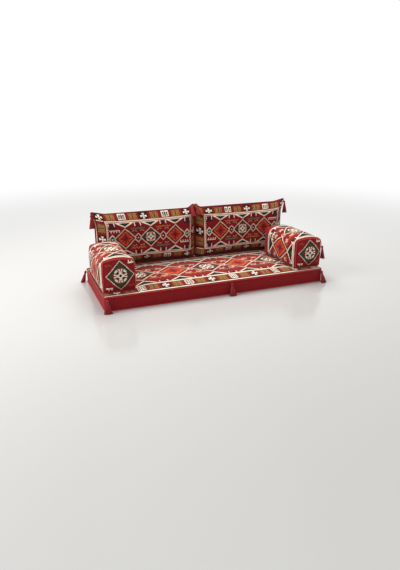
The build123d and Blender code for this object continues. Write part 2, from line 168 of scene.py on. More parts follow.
tileMotifs = {"height": 50.0, "half": (38.0, 20.0), "gapFrom": 42.0, "zigzagStep": 9.0, "zigzagShare": 0.2,
              "crossSlim": 0.62, "crossFlare": 0.4, "crossReach": 17.5,
              "warm": (((13, 0), (3, 12), "greyGreen"), ((0, 0), (4, 15), "darkGreen")),
              "hooks": (((30, 0), (4, 18), "cream"), ((14, 15.5), (12, 3.2), "cream"),
                        ((8, 4), (3.4, 12), "cream"), ((19, 0), (3.4, 7), "pink"))}


def kilimColour(tree, uv, plan):
    # The woven ornament, in millimetres on the cloth, stepped like its threads
    step, stretch, period = plan["step"], plan["stretch"], plan["period"]
    frameU, frameV = plan["frame"]
    field = fieldMotifs
    place = uv
    for operation, value in (("MULTIPLY", (1000, 1000, 0)), ("SUBTRACT", (*plan["centre"], 0)),
                             ("SNAP", (step, step, step)), ("ADD", (step / 2, step / 2, 0))):
        place = addNode(tree, "ShaderNodeVectorMath", (place, value), operation=operation).outputs[0]
    u, v = addNode(tree, "ShaderNodeSeparateXYZ", (place,)).outputs[:2]
    # near is 0 at each large lozenge; turn is 0 at each flower and a period at each star
    absU, absV, near, turn, slant, saw = (
        addNode(tree, "ShaderNodeMath", part[1:], operation=part[0]).outputs[0] for part in
        (("ABSOLUTE", u), ("ABSOLUTE", v), ("PINGPONG", u, period / 2), ("PINGPONG", u, period),
         ("MULTIPLY", u, ("MULTIPLY", v, plan["hand"])), ("PINGPONG", u, field["waveStep"] * stretch)))
    slantUp, slantDown = ("GREATER_THAN", slant, 0.0), ("LESS_THAN", slant, 0.0)
    quarter = addNode(tree, "ShaderNodeCombineXYZ", (absU, absV, 0)).outputs[0]
    folded = addNode(tree, "ShaderNodeCombineXYZ", (near, absV, 0)).outputs[0]

    # Ground with plum patches
    patchIn = field["patchIn"]
    patch = oblong(tree, quarter, (frameU - patchIn[0], frameV - patchIn[1]), field["patchHalf"])
    ground = lay(tree, "fieldRed", patch, "plum")

    # Zigzags between the lozenges, warm on one slant and green on the other, with a paler thread along each
    middle = ("SUBTRACT", period / 2, near)
    wave = ("SUBTRACT", absV, ("MULTIPLY", saw, field["waveSlope"]))
    inChain = ("LESS_THAN", absU, plan["greenFrom"] - field["chainIn"])
    for half, reach, warm, cool in field["zigzags"]:
        zigzag = both(inChain, ("COMPARE", wave, plan["zigzag"], half * stretch),
                      ("LESS_THAN", middle, reach * stretch))
        ground = lay(tree, ground, both(zigzag, slantUp), warm)
        ground = lay(tree, ground, both(zigzag, slantDown), cool)
    dash = both(inChain, ("COMPARE", wave, plan["zigzag"] - field["dashIn"] * stretch, plan["dash"]),
                ("COMPARE", middle, field["dashMiddle"] * stretch, field["dashHalf"] * stretch))
    ground = lay(tree, ground, dash, "pink")

    # Combs in cream at the ends of the chain
    combU, combV = plan["comb"]
    bar = oblong(tree, quarter, plan["comb"], (plan["combHalf"], field["combBar"]))
    teeth = both(oblong(tree, quarter, (combU, combV + plan["combTeeth"]), (plan["combHalf"], field["combTooth"])),
                 ("LESS_THAN", ("PINGPONG", u, field["toothStep"]), field["toothWidth"]))
    comb = both(("MAXIMUM", bar, teeth), slantUp if plan["combUp"] else slantDown)
    ground = lay(tree, ground, comb, "cream")
    if plan["combUp"]:
        bit = both(("COMPARE", wave, combV - field["bitBelow"], field["bitRise"]),
                   ("COMPARE", absU, combU, field["bitHalf"]), slantDown)
        ground = lay(tree, ground, bit, "rust")

    # Triangles that stand on the frame, with bars and plum strips between them
    if plan["triangle"]:
        stripU, stripV = field["stripHalf"]
        ground = lay(tree, ground, oblong(tree, folded, (period / 2, frameV - field["stripIn"]),
                                          (stripU * stretch, stripV)), "plum")
        barU, barV = field["barHalf"]
        ground = lay(tree, ground, oblong(tree, folded, (period / 2 - field["barAside"] * stretch,
                                                         frameV - field["barIn"]), (barU * stretch, barV)), "cream")
        measure = diamond(tree, folded, (0, frameV - field["triangleIn"]), plan["triangle"])
        fill = rings(tree, measure, [(0.0, "green"), (field["triangleBlack"], "black"),
                                     (plan["triangleEdge"], "cream")])
        fill = lay(tree, fill, ("GREATER_THAN", absV, frameV - field["footIn"]), "cream")
        ground = lay(tree, ground, ("LESS_THAN", measure, 1.0), fill)

    # Small lozenges between the large ones, green at the ends of the chain
    inReach = ("LESS_THAN", absU, plan["reach"])
    measure = diamond(tree, folded, (period / 2, 0), plan["small"])
    fill = lay(tree, rings(tree, measure, field["small"]), ("GREATER_THAN", absU, plan["greenFrom"]),
               rings(tree, measure, field["smallEnd"]))
    ground = lay(tree, ground, both(("LESS_THAN", measure, 1.0), inReach), fill)

    # Large lozenges
    measure = diamond(tree, folded, (0, 0), plan["large"])
    edge = plan["edge"]
    flower = rings(tree, measure, [(0.0, "fieldRed"), (plan["flowerGround"], "darkGreen"),
                                   (1 - flowerMotif["blackEdge"] * edge, "black"), (1 - edge, "rose")])
    star = rings(tree, measure, [(0.0, "ember"), (starMotif["orangeFrom"], "orange"),
                                 (1 - starMotif["rustEdge"] * edge, "rust"),
                                 (1 - starMotif["blackEdge"] * edge, "black"), (1 - edge, "rose")])
    shares = (("DIVIDE", near, plan["flower"][0]), ("DIVIDE", absV, plan["flower"][1]))
    cross = addNode(tree, "ShaderNodeCombineXYZ", (("MAXIMUM", *shares), ("MINIMUM", *shares), 0)).outputs[0]
    long, short = addNode(tree, "ShaderNodeSeparateXYZ", (cross,)).outputs[:2]
    # Eight petals: an octagon cut by slots on the axes and by nicks beside them, with four dots
    corner = ("ADD", long, ("MULTIPLY", short, flowerMotif["cornerCut"]))
    octagon = both(("LESS_THAN", long, 1.0), ("LESS_THAN", corner, flowerMotif["cornerReach"]))
    slot = both(("LESS_THAN", short, flowerMotif["slotHalf"]), ("GREATER_THAN", long, flowerMotif["slotFrom"]))
    besideSlot = ("SUBTRACT", short, ("MULTIPLY", long, flowerMotif["nickSlope"]))
    nick = both(("COMPARE", besideSlot, 0.0, flowerMotif["nickHalf"]),
                ("GREATER_THAN", long, flowerMotif["nickFrom"]))
    flower = lay(tree, flower, both(octagon, ("SUBTRACT", 1.0, ("MAXIMUM", slot, nick))), "cream")
    for centre, half, colour in flowerMotif["lozenges"]:
        flower = lay(tree, flower, ("LESS_THAN", diamond(tree, cross, centre, half), 1.0), colour)
    # A star of eight rays in red and violet
    slantRay = both(("COMPARE", ("SUBTRACT", long, short), 0.0, starMotif["slantHalf"]),
                    ("LESS_THAN", long, starMotif["slantReach"]))
    star = lay(tree, star, slantRay, "brightRed")
    ray = both(("LESS_THAN", short, starMotif["rayHalf"]), ("LESS_THAN", long, starMotif["rayReach"]))
    star = layOblongs(tree, lay(tree, star, ray, "fieldRed"), cross, starMotif["oblongs"])
    fill = lay(tree, star, ("LESS_THAN", turn, period / 2), flower)
    colour = lay(tree, ground, both(("LESS_THAN", measure, 1.0), inReach), fill)

    # Frame with a notched inner edge; its rows at the top and the foot run on through the corners
    overU, overV = ("SUBTRACT", absU, frameU), ("SUBTRACT", absV, frameV)
    isSide, edgeOver = (addNode(tree, "ShaderNodeMath", part[1:], operation=part[0]).outputs[0] for part in
                        (("LESS_THAN", overV, 0.0), ("MAXIMUM", overU, overV)))
    over, along, width = (
        addNode(tree, "ShaderNodeMath", part[1:], operation=part[0]).outputs[0] for part in
        (("ADD", ("MULTIPLY", isSide, overU), ("MULTIPLY", ("SUBTRACT", 1.0, isSide), overV)),
         ("ADD", ("MULTIPLY", isSide, v),
          ("MULTIPLY", ("SUBTRACT", 1.0, isSide), ("SUBTRACT", u, plan["tileShift"]))),
         ("ADD", plan["border"], ("MULTIPLY", isSide, plan["sideMore"]))))
    line = plan["line"]
    lineHalf = line * frameMotif["lineHalf"]
    colour = lay(tree, colour, ("COMPARE", edgeOver, -lineHalf, lineHalf), plan["lineYarn"])
    notch = both(("COMPARE", edgeOver, -line * frameMotif["notchIn"], line * frameMotif["notchHalf"]),
                 ("LESS_THAN", ("PINGPONG", along, frameMotif["notchStep"]), frameMotif["notchWidth"]))
    colour = lay(tree, colour, notch, "black")
    outside = ("GREATER_THAN", edgeOver, 0.0)
    if not plan["border"]:
        return lay(tree, colour, outside, "fieldRed")

    # Border with its tiles: one in warm colours with a zigzag, a cross and a hook, in turn
    pitch = plan["tilePitch"]
    across = ("ABSOLUTE", ("SUBTRACT", over, ("MULTIPLY", width, 0.5)))
    kind, tileU = ("PINGPONG", along, 2 * pitch), ("PINGPONG", along, pitch / 2)
    tile = addNode(tree, "ShaderNodeCombineXYZ",
                   (tileU, ("DIVIDE", ("MULTIPLY", across, tileMotifs["height"]), width), 0)).outputs[0]
    spread = addNode(tree, "ShaderNodeSeparateXYZ", (tile,)).outputs
    zigzagStep = tileMotifs["zigzagStep"]
    zigzag = ("SUBTRACT", ("PINGPONG", ("ADD", along, spread[1]), zigzagStep), zigzagStep / 2)
    warmTile = lay(tree, "rust", ("GREATER_THAN", zigzag, tileMotifs["zigzagShare"]), "olive")
    warmTile = layOblongs(tree, warmTile, tile, tileMotifs["warm"])
    # Cream cross with flaring arms on black
    armU = ("MULTIPLY", spread[0], tileMotifs["crossSlim"])
    reach = ("MAXIMUM", armU, spread[1])
    flare = ("SUBTRACT", ("MINIMUM", armU, spread[1]), ("MULTIPLY", reach, tileMotifs["crossFlare"]))
    crossMask = both(("LESS_THAN", flare, 1.0), ("LESS_THAN", reach, tileMotifs["crossReach"]))
    crossTile = lay(tree, "black", crossMask, "cream")
    hookTile = layOblongs(tree, "black", tile, tileMotifs["hooks"])
    tileColour = lay(tree, warmTile, ("LESS_THAN", kind, pitch / 2), crossTile)
    tileColour = lay(tree, tileColour, ("GREATER_THAN", kind, 1.5 * pitch), hookTile)
    strip = lay(tree, plan["borderGround"], ("GREATER_THAN", tileU, tileMotifs["gapFrom"]), "fieldRed")
    strip = lay(tree, strip, oblong(tree, tile, (0, 0), tileMotifs["half"]), tileColour)

    # A thin line along the cloth's edge, and dark cloth outside it, which also holds painted shade: in the seat's
    # groove at the lip and along the piping
    beyond, edgeLine = ("SUBTRACT", over, width), plan["edgeLine"]
    onLine = both(("COMPARE", beyond, edgeLine / 2, edgeLine / 2), ("GREATER_THAN", v, plan["edgeFrom"]))
    strip = lay(tree, strip, onLine, plan["lineYarn"])
    strip = lay(tree, strip, ("GREATER_THAN", beyond, edgeLine), plan["outerYarn"])
    atRear = both(("GREATER_THAN", beyond, edgeLine), ("GREATER_THAN", v, 0.0))
    strip = lay(tree, strip, atRear, "borderBrown")
    return lay(tree, colour, outside, strip)


# Thread spacing in millimetres, and the shares of weft, warp and fuzz in the relief; the weft's and the ribs' tones
# are painted shade that follows the relief; fade is how far the dye varies
clothFinish = {"threads": 2.6, "warp": 0.5, "weftShare": 0.5, "warpShare": 0.35, "weftShade": 0.05, "ribShade": 0.0,
               "fuzzScale": 0.9, "fuzzShare": 0.8, "streaks": (0.012, 0.09, 0), "dye": (0.3, 0.7), "fade": 0.22,
               "bump": 0.35, "relief": 0.0008, "roughness": 0.88, "roughSpread": 0.08, "specular": 0.3,
               "sheen": 0.16, "sheenRoughness": 0.4, "tint": "FFD9C8"}


def wovenCloth(name, pattern, finish):
    # Wool or cotton cloth: rows of weft across a warp, matt, with fibres that catch the light at a low angle.
    # The pattern is a plan of the ornament, or one plain colour
    material, tree = newMaterial(name)
    uv = addNode(tree, "ShaderNodeUVMap", uv_map="weave").outputs[0]
    colour = kilimColour(tree, uv, pattern) if isinstance(pattern, dict) else hexColour(pattern)
    place = addNode(tree, "ShaderNodeVectorMath", (uv, (1000, 1000, 0)), operation="MULTIPLY").outputs[0]
    axes = addNode(tree, "ShaderNodeSeparateXYZ", (place,)).outputs
    turn = math.tau / finish["threads"]                       # drawn a little coarser than the real thread
    weft = ("SINE", ("MULTIPLY", axes[1], turn))
    warp = ("SINE", ("MULTIPLY", axes[0], turn * finish["warp"]))
    fuzz = addNode(tree, "ShaderNodeTexNoise",
                   {"Vector": place, "Scale": finish["fuzzScale"], "Detail": 2.0}).outputs[0]
    height = ("ADD", ("MULTIPLY", weft, finish["weftShare"]), ("MULTIPLY", warp, finish["warpShare"]))
    height = ("ADD", height, ("MULTIPLY", fuzz, finish["fuzzShare"]))
    # Uneven dye in long soft streaks, and wear that greys the cloth a little
    streaks = addNode(tree, "ShaderNodeVectorMath", (place, finish["streaks"]), operation="MULTIPLY").outputs[0]
    dye = addNode(tree, "ShaderNodeTexNoise", {"Vector": streaks, "Scale": 1.0, "Detail": 4.0}).outputs[0]
    tone = addNode(tree, "ShaderNodeMapRange",
                   {"Value": dye, "From Min": finish["dye"][0], "From Max": finish["dye"][1],
                    "To Min": 1 - finish["fade"], "To Max": 1 + finish["fade"] * 0.6}).outputs[0]
    # Painted shade of the weave: the colour darkens in the grooves between threads and lightens on their crests,
    # following the relief, over the uneven dye
    threadShadeAndDye = ("ADD", ("MULTIPLY", warp, finish["ribShade"]), ("ADD", ("MULTIPLY", weft, finish["weftShade"]), tone))
    shade = addNode(tree, "ShaderNodeHueSaturation", {"Color": colour, "Value": threadShadeAndDye}).outputs[0]
    bump = addNode(tree, "ShaderNodeBump", {"Strength": finish["bump"], "Distance": finish["relief"],
                                            "Height": height}).outputs[0]
    rough = addNode(tree, "ShaderNodeMapRange", {"Value": fuzz, "To Min": finish["roughness"] - finish["roughSpread"],
                                                 "To Max": finish["roughness"] + finish["roughSpread"]}).outputs[0]
    shader = addNode(tree, "ShaderNodeBsdfPrincipled",
                     {"Base Color": shade, "Roughness": rough, "Normal": bump,
                      "Specular IOR Level": finish["specular"], "Sheen Weight": finish["sheen"],
                      "Sheen Roughness": finish["sheenRoughness"], "Sheen Tint": hexColour(finish["tint"])})
    addNode(tree, "ShaderNodeOutputMaterial", {"Surface": shader.outputs[0]})
    return material


# Plans of the ornament, one for each cover; pairs are sizes sideways and upwards
backPlan = {"centre": (20.0, 4.0), "step": 4.0, "stretch": 1.0, "period": 235.0, "frame": (402.0, 171.0),
            "large": (103.0, 98.0), "small": (42.0, 46.0), "edge": 0.125, "flowerGround": 0.62,
            "flower": (46.0, 46.0), "triangle": (86.0, 52.0), "triangleEdge": 0.72, "zigzag": 84.0, "dash": 2.5,
            "comb": (330.0, 80.0), "combHalf": 48.0, "combTeeth": -11.0, "combUp": False, "greenFrom": 300.0,
            "reach": 400.0, "hand": 1.0, "line": 13.0, "lineYarn": "rose", "border": 60.0, "sideMore": 22.0,
            "borderGround": "borderBrown", "tilePitch": 99.0, "tileShift": -40.0, "edgeLine": 5.0,
            "edgeFrom": -171.0, "outerYarn": "borderBrown"}
backRightPlan = {**backPlan, "centre": (9.0, -2.0), "tileShift": 50.0, "hand": -1.0}
seatPlan = {**backPlan, "centre": (15.0, -12.0), "stretch": 1.35, "period": 318.0, "frame": (880.0, 262.0),
            "large": (160.0, 150.0), "small": (44.0, 44.0), "edge": 0.12, "flower": (66.0, 64.0),
            "triangle": (112.0, 84.0), "triangleEdge": 0.78, "zigzag": 118.0, "dash": 13.0, "comb": (700.0, 90.0),
            "combHalf": 60.0, "greenFrom": 640.0, "reach": 860.0, "line": 16.0, "lineYarn": "cream",
            "border": 102.0, "sideMore": 0.0, "tilePitch": 102.0, "tileShift": -80.0, "edgeLine": 12.0,
            # The black outside the seat's edge line lies in the lip's groove: dark cloth with painted groove shade in
            # it
            "edgeFrom": -1000.0, "outerYarn": "black"}
sleevePlan = {**seatPlan, "centre": (0.0, -32.0), "stretch": 1.0, "period": 235.0, "frame": (1000.0, 226.0),
              "large": (114.0, 140.0), "small": (32.0, 32.0), "triangle": (104.0, 84.0), "triangleEdge": 0.84,
              "flower": (54.0, 62.0), "zigzag": 108.0, "comb": (178.0, 150.0), "reach": 900.0, "line": 9.0,
              "border": 0}
endPlan = {**backPlan, "centre": (7.0, 0.0), "period": 4000.0, "frame": (400.0, 400.0), "large": (117.0, 124.0),
           "flower": (53.0, 55.0), "edge": 0.075, "flowerGround": 0.63, "triangle": None, "zigzag": 88.0,
           "dash": 0.0, "comb": (90.0, 98.0), "combHalf": 26.0, "combTeeth": 11.0, "combUp": True, "border": 0}
redFinish = {**clothFinish, "threads": 1.8, "warp": 1.0, "bump": 0.25, "fade": 0.12}
# The band's ribs are painted too: light crests and dark grooves in the colour, beside the bump
ribFinish = {**clothFinish, "threads": 12.0, "warp": 1.0, "weftShare": 0.06, "warpShare": 1.0, "bump": 1.0,
             "fade": 0.12, "ribShade": 0.09, "sheen": 0.14}
covers = {"kilimBackLeft": (backPlan, clothFinish), "kilimBackRight": (backRightPlan, clothFinish),
          "kilimSeat": (seatPlan, clothFinish), "kilimSleeve": (sleevePlan, clothFinish),
          "kilimEnd": (endPlan, clothFinish), "redCotton": ("8C1218", redFinish),
          "redRibbedCotton": ("8F1218", ribFinish)}
cloth = {name: wovenCloth(name, pattern, finish) for name, (pattern, finish) in covers.items()}

# One turn of the twist in millimetres, and the number of plies
yarnLooks = {"fuzzScale": 160.0, "plyShade": 0.12, "relief": 0.0006, "roughness": 0.62, "specular": 0.35,
             "sheenRoughness": 0.4, "tint": "FFE0DA"}
yarnFinishes = {
    # The mattress and armrest piping's red is lighter than the band's red cotton: painted highlight of the raised
    # cord on top of its own colour
    "pipingCottonAndHighlight": {"colour": "B02429", "twist": 5.0, "plies": 1.0, "bump": 0.25, "sheen": 0.3},
    "darkPipingCotton": {"colour": "7E141A", "twist": 5.0, "plies": 1.0, "bump": 0.25, "sheen": 0.2},
    "tasselViscose": {"colour": "931A20", "twist": 3.0, "plies": 2.0, "bump": 0.3, "sheen": 0.25},
    "sewingThread": {"colour": "7A1218", "twist": 1.2, "plies": 1.0, "bump": 0.2, "sheen": 0.1},
    "zipTapePolyester": {"colour": "6E1217", "twist": 2.0, "plies": 6.0, "bump": 0.3, "sheen": 0.15},
}


def yarnMaterial(name, finish):
    # Twisted viscose or cotton yarn: plies that wind round, a soft gloss along them, and painted shade that darkens
    # the colour where the relief is low, between the plies
    material, tree = newMaterial(name)
    uv = addNode(tree, "ShaderNodeUVMap", uv_map="weave").outputs[0]
    axes = addNode(tree, "ShaderNodeSeparateXYZ", (uv,)).outputs
    wave = ("SINE", ("ADD", ("MULTIPLY", axes[0], 1000 * math.tau / finish["twist"]),
                     ("MULTIPLY", axes[1], math.tau * finish["plies"])))
    grain = addNode(tree, "ShaderNodeTexCoord").outputs["Object"]
    fuzz = addNode(tree, "ShaderNodeTexNoise",
                   {"Vector": grain, "Scale": yarnLooks["fuzzScale"], "Detail": 3.0}).outputs[0]
    # Painted shade: the colour follows the relief, darker between the plies and in the fuzz's hollows
    tone = ("ADD", ("MULTIPLY", wave, yarnLooks["plyShade"]), ("ADD", fuzz, 0.5))
    shade = addNode(tree, "ShaderNodeHueSaturation", {"Color": hexColour(finish["colour"]), "Value": tone}).outputs[0]
    bump = addNode(tree, "ShaderNodeBump", {"Strength": finish["bump"], "Distance": yarnLooks["relief"],
                                            "Height": ("ADD", wave, fuzz)}).outputs[0]
    shader = addNode(tree, "ShaderNodeBsdfPrincipled",
                     {"Base Color": shade, "Roughness": yarnLooks["roughness"], "Normal": bump,
                      "Specular IOR Level": yarnLooks["specular"], "Sheen Weight": finish["sheen"],
                      "Sheen Roughness": yarnLooks["sheenRoughness"], "Sheen Tint": hexColour(yarnLooks["tint"])})
    addNode(tree, "ShaderNodeOutputMaterial", {"Surface": shader.outputs[0]})
    return material


for name, finish in yarnFinishes.items():
    cloth[name] = yarnMaterial(name, finish)

# Chrome plated zinc: polished once, so it has fine wipe marks and nothing else
chromeLooks = {"colour": "C9CACC", "wipe": (60, 900, 900), "roughness": (0.12, 0.3), "bump": 0.08, "relief": 0.0002}
chrome, tree = newMaterial("chromePlatedZinc")
grain = addNode(tree, "ShaderNodeTexCoord").outputs["Object"]
wipe = addNode(tree, "ShaderNodeVectorMath", (grain, chromeLooks["wipe"]), operation="MULTIPLY").outputs[0]
marks = addNode(tree, "ShaderNodeTexNoise", {"Vector": wipe, "Scale": 1.0, "Detail": 3.0}).outputs[0]
rough = addNode(tree, "ShaderNodeMapRange", {"Value": marks, "To Min": chromeLooks["roughness"][0],
                                             "To Max": chromeLooks["roughness"][1]}).outputs[0]
scuff = addNode(tree, "ShaderNodeBump", {"Strength": chromeLooks["bump"], "Distance": chromeLooks["relief"],
                                         "Height": marks}).outputs[0]
shader = addNode(tree, "ShaderNodeBsdfPrincipled", {"Base Color": hexColour(chromeLooks["colour"]),
                                                    "Metallic": 1.0, "Roughness": rough, "Normal": scuff})
addNode(tree, "ShaderNodeOutputMaterial", {"Surface": shader.outputs[0]})
print("materials made")


# Outlines and meshes
cornerPoints, finePoints = 13, 4000


def filletedLoop(corners, radii):
    # A closed line through rounded corners, in short steps
    points, count = [], len(corners)
    for place, radius in enumerate(radii):
        before, corner, after = (Vector(corners[(place + step) % count]) for step in (-1, 0, 1))
        back, ahead = (before - corner).normalized(), (after - corner).normalized()
        half = back.angle(ahead) / 2
        centre = corner + (back + ahead).normalized() * (radius / math.sin(half))
        start = corner + back * (radius / math.tan(half)) - centre
        end = corner + ahead * (radius / math.tan(half)) - centre
        turn = start.angle_signed(end) * -1
        for share in np.linspace(0, 1, cornerPoints):
            points.append(centre + Matrix.Rotation(turn * share, 2) @ start)
    return np.array([tuple(point) for point in points])


def runAlong(points):
    # The distance run from the first point to each one
    return np.concatenate(([0], np.cumsum(np.linalg.norm(np.diff(points, axis=0), axis=1))))


def resample(points, count):
    run = runAlong(points)
    target = np.linspace(0, run[-1], count + 1)
    return np.stack([np.interp(target, run, points[:, axis]) for axis in range(points.shape[1])], axis=1)


def fourSides(loop, corners, counts):
    # The loop's bottom, right, top and left, each from its own low or left end
    fine = resample(np.vstack([loop, loop[:1]]), finePoints)[:-1]
    marks = [int(np.argmin(((fine - np.array(corner)) ** 2).sum(1))) for corner in corners]
    sides = []
    for place in range(4):
        first, last = marks[place], marks[(place + 1) % 4]
        run = fine[first:last + 1] if last > first else np.vstack([fine[first:], fine[:last + 1]])
        sides.append(resample(run, counts[place % 2]))
    return [sides[0], sides[1], sides[2][::-1], sides[3][::-1]]


def coonsGrid(bottom, right, top, left):
    # Points between four sides; rows go up and columns go right
    s = np.linspace(0, 1, len(bottom))[None, :, None]
    t = np.linspace(0, 1, len(left))[:, None, None]
    ruled = (1 - t) * bottom[None] + t * top[None] + (1 - s) * left[:, None] + s * right[:, None]
    corners = ((1 - s) * (1 - t) * bottom[0] + s * (1 - t) * bottom[-1] + (1 - s) * t * top[0] + s * t * top[-1])
    return ruled - corners


def ringOrder(rows, columns):
    # Indices of a grid's rim, once round from its low left corner
    rim = [(0, column) for column in range(columns)] + [(row, columns - 1) for row in range(1, rows)]
    rim += [(rows - 1, column) for column in range(columns - 2, -1, -1)]
    rim += [(row, 0) for row in range(rows - 2, 0, -1)]
    return rim


class Sewn:
    # Collects patches of quads that share their seams
    def __init__(self):
        self.points, self.faces, self.uvs, self.cloths, self.total, self.loose = [], [], [], [], 0, []

    def add(self, points):
        flat = np.asarray(points).reshape(-1, 3)
        self.points.append(flat)
        self.total += len(flat)
        return np.arange(self.total - len(flat), self.total)

    def patch(self, index, uv, clothPlace, flip):
        corners = [(0, 0), (0, 1), (1, 1), (1, 0)]
        corners = corners[::-1] if flip else corners
        rows, columns = index.shape
        cut = [(slice(a, rows - 1 + a), slice(b, columns - 1 + b)) for a, b in corners]
        self.faces.append(np.stack([index[c].ravel() for c in cut], axis=1))
        self.uvs.append(np.stack([uv[c].reshape(-1, 2) for c in cut], axis=1).reshape(-1, 2))
        self.cloths += [clothPlace] * len(self.faces[-1])

    def build(self, name, materials):
        mesh = bpy.data.meshes.new(name)
        mesh.from_pydata(np.vstack(self.points).tolist(), [], np.vstack(self.faces).tolist() + self.loose)
        uvs = np.vstack(self.uvs + [np.zeros((3 * len(self.loose), 2))])
        mesh.uv_layers.new(name="weave").data.foreach_set("uv", uvs.ravel())
        for material in materials:
            mesh.materials.append(material)
        mesh.polygons.foreach_set("material_index", self.cloths + [0] * len(self.loose))
        mesh.polygons.foreach_set("use_smooth", [True] * len(mesh.polygons))
        piece = bpy.data.objects.new(name, mesh)
        scene.collection.objects.link(piece)
        return piece


def readPoints(piece):
    flat = np.zeros(len(piece.data.vertices) * 3)
    piece.data.vertices.foreach_get("co", flat)
    return flat.reshape(-1, 3)


def writePoints(piece, points):
    piece.data.vertices.foreach_set("co", points.ravel())
    piece.data.update()


def settleMesh(piece):
    # Applies the live modifiers, so that the piece is a plain mesh
    view = bpy.context.evaluated_depsgraph_get()
    mesh = bpy.data.meshes.new_from_object(piece.evaluated_get(view))
    piece.modifiers.clear()
    piece.data = mesh


swollenCloth = {"quality": 6, "mass": 0.4, "airDamping": 6}


def inflate(piece, held, swell):
    # Cloth with air pressure inside, held at its seams; the cloth is cut a little full, so it puckers there
    before = readPoints(piece)
    group = piece.vertex_groups.new(name="seams")
    group.add(sorted(held), 1.0, "REPLACE")
    modifier = piece.modifiers.new("cloth", "CLOTH")
    settings = modifier.settings
    settings.quality = swollenCloth["quality"]
    settings.mass = swollenCloth["mass"]
    settings.tension_stiffness = settings.compression_stiffness = swell["stiffness"]
    settings.shear_stiffness = swell["stiffness"] / 2
    settings.bending_stiffness = swell["bending"]
    settings.air_damping = swollenCloth["airDamping"]
    settings.use_pressure = True
    settings.uniform_pressure_force = swell["pressure"]
    settings.shrink_min = -swell["fullness"]
    settings.vertex_group_mass = "seams"
    settings.effector_weights.gravity = 0
    modifier.collision_settings.use_collision = False
    modifier.point_cache.frame_end = swell["frames"]
    for number in range(1, swell["frames"] + 1):
        scene.frame_set(number)
    soft = piece.evaluated_get(bpy.context.evaluated_depsgraph_get())
    after = np.zeros(len(soft.data.vertices) * 3)
    soft.data.vertices.foreach_get("co", after)
    after = after.reshape(-1, 3)
    piece.modifiers.remove(modifier)
    scene.frame_set(1)
    move = after - before
    size = np.linalg.norm(move, axis=1, keepdims=True)
    # The movement is capped, with a nearly zero one kept out of the division
    writePoints(piece, before + move * np.minimum(1, swell["cap"] / np.maximum(size, 1e-9)))


def mapGrid(rows, columns):
    return np.stack(np.meshgrid(rows, columns, indexing="ij"), axis=2)


def addTube(sewn, path, radius, sides):
    # A round tube along a closed line; its map runs in metres along and in turns round
    ahead = np.roll(path, -1, 0) - np.roll(path, 1, 0)
    ahead /= np.linalg.norm(ahead, axis=1, keepdims=True)
    side = Vector(ahead[0]).orthogonal().normalized()
    angles = np.linspace(0, math.tau, sides, endpoint=False)
    rows = []
    for point, axis in zip(path, ahead):
        axis = Vector(axis)
        side = (side - axis * side.dot(axis)).normalized()
        up = axis.cross(side)
        rows.append([tuple(Vector(point) + (side * math.cos(a) + up * math.sin(a)) * radius) for a in angles])
    index = sewn.add(rows).reshape(len(path), sides)
    index = np.hstack([index, index[:, :1]])
    index = np.vstack([index, index[:1]])
    sewn.patch(index, mapGrid(runAlong(np.vstack([path, path[:1]])), np.linspace(0, 1, sides + 1)), 0, False)


def closeEnds(sewn, index):
    # A fan over each end of a tube of quads
    points = np.vstack(sewn.points)
    for row, turned in ((index[0, :-1], True), (index[-1, :-1], False)):
        middle = sewn.add([points[row].mean(axis=0)])[0]
        ring = row[::-1] if turned else row
        for first, second in zip(ring, np.roll(ring, -1)):
            sewn.loose.append((int(first), int(second), int(middle)))


def yarnTree():
    # Every yarn, stitch and zip coil is a round strand along a path, as thick as the path says
    tree = bpy.data.node_groups.new("yarnAlongPaths", "GeometryNodeTree")
    for name, kind in (("Paths", "Geometry"), ("Sides", "Int"), ("Yarn", "Material")):
        tree.interface.new_socket(name=name, in_out="INPUT", socket_type="NodeSocket" + kind)
    tree.interface.new_socket(name="Strands", in_out="OUTPUT", socket_type="NodeSocketGeometry")
    paths, sides, yarnSlot = addNode(tree, "NodeGroupInput").outputs[:3]
    place = addNode(tree, "GeometryNodeSplineParameter").outputs
    line = addNode(tree, "GeometryNodeMeshToCurve", (paths,)).outputs[0]
    line = addNode(tree, "GeometryNodeStoreNamedAttribute",
                   {"Geometry": line, "Name": "run", "Value": place["Length"]},
                   data_type="FLOAT", domain="POINT").outputs[0]
    ring = addNode(tree, "GeometryNodeCurvePrimitiveCircle", {"Resolution": sides, "Radius": 1.0}).outputs[0]
    ring = addNode(tree, "GeometryNodeStoreNamedAttribute",
                   {"Geometry": ring, "Name": "turn", "Value": place["Factor"]},
                   data_type="FLOAT", domain="POINT").outputs[0]
    thick = addNode(tree, "GeometryNodeInputNamedAttribute", {"Name": "thickness"}, data_type="FLOAT").outputs[0]
    strand = addNode(tree, "GeometryNodeCurveToMesh",
                     {"Curve": line, "Profile Curve": ring, "Scale": thick, "Fill Caps": True}).outputs[0]
    weave = addNode(tree, "ShaderNodeCombineXYZ", [
        addNode(tree, "GeometryNodeInputNamedAttribute", {"Name": name}, data_type="FLOAT").outputs[0]
        for name in ("run", "turn")]).outputs[0]
    strand = addNode(tree, "GeometryNodeStoreNamedAttribute", {"Geometry": strand, "Name": "weave", "Value": weave},
                     data_type="FLOAT2", domain="CORNER").outputs[0]
    strand = addNode(tree, "GeometryNodeSetShadeSmooth", (strand,)).outputs[0]
    strand = addNode(tree, "GeometryNodeRealizeInstances", (strand,)).outputs[0]
    strand = addNode(tree, "GeometryNodeSetMaterial", {"Geometry": strand, "Material": yarnSlot}).outputs[0]
    addNode(tree, "NodeGroupOutput", (strand,))
    return tree


strandTree = yarnTree()


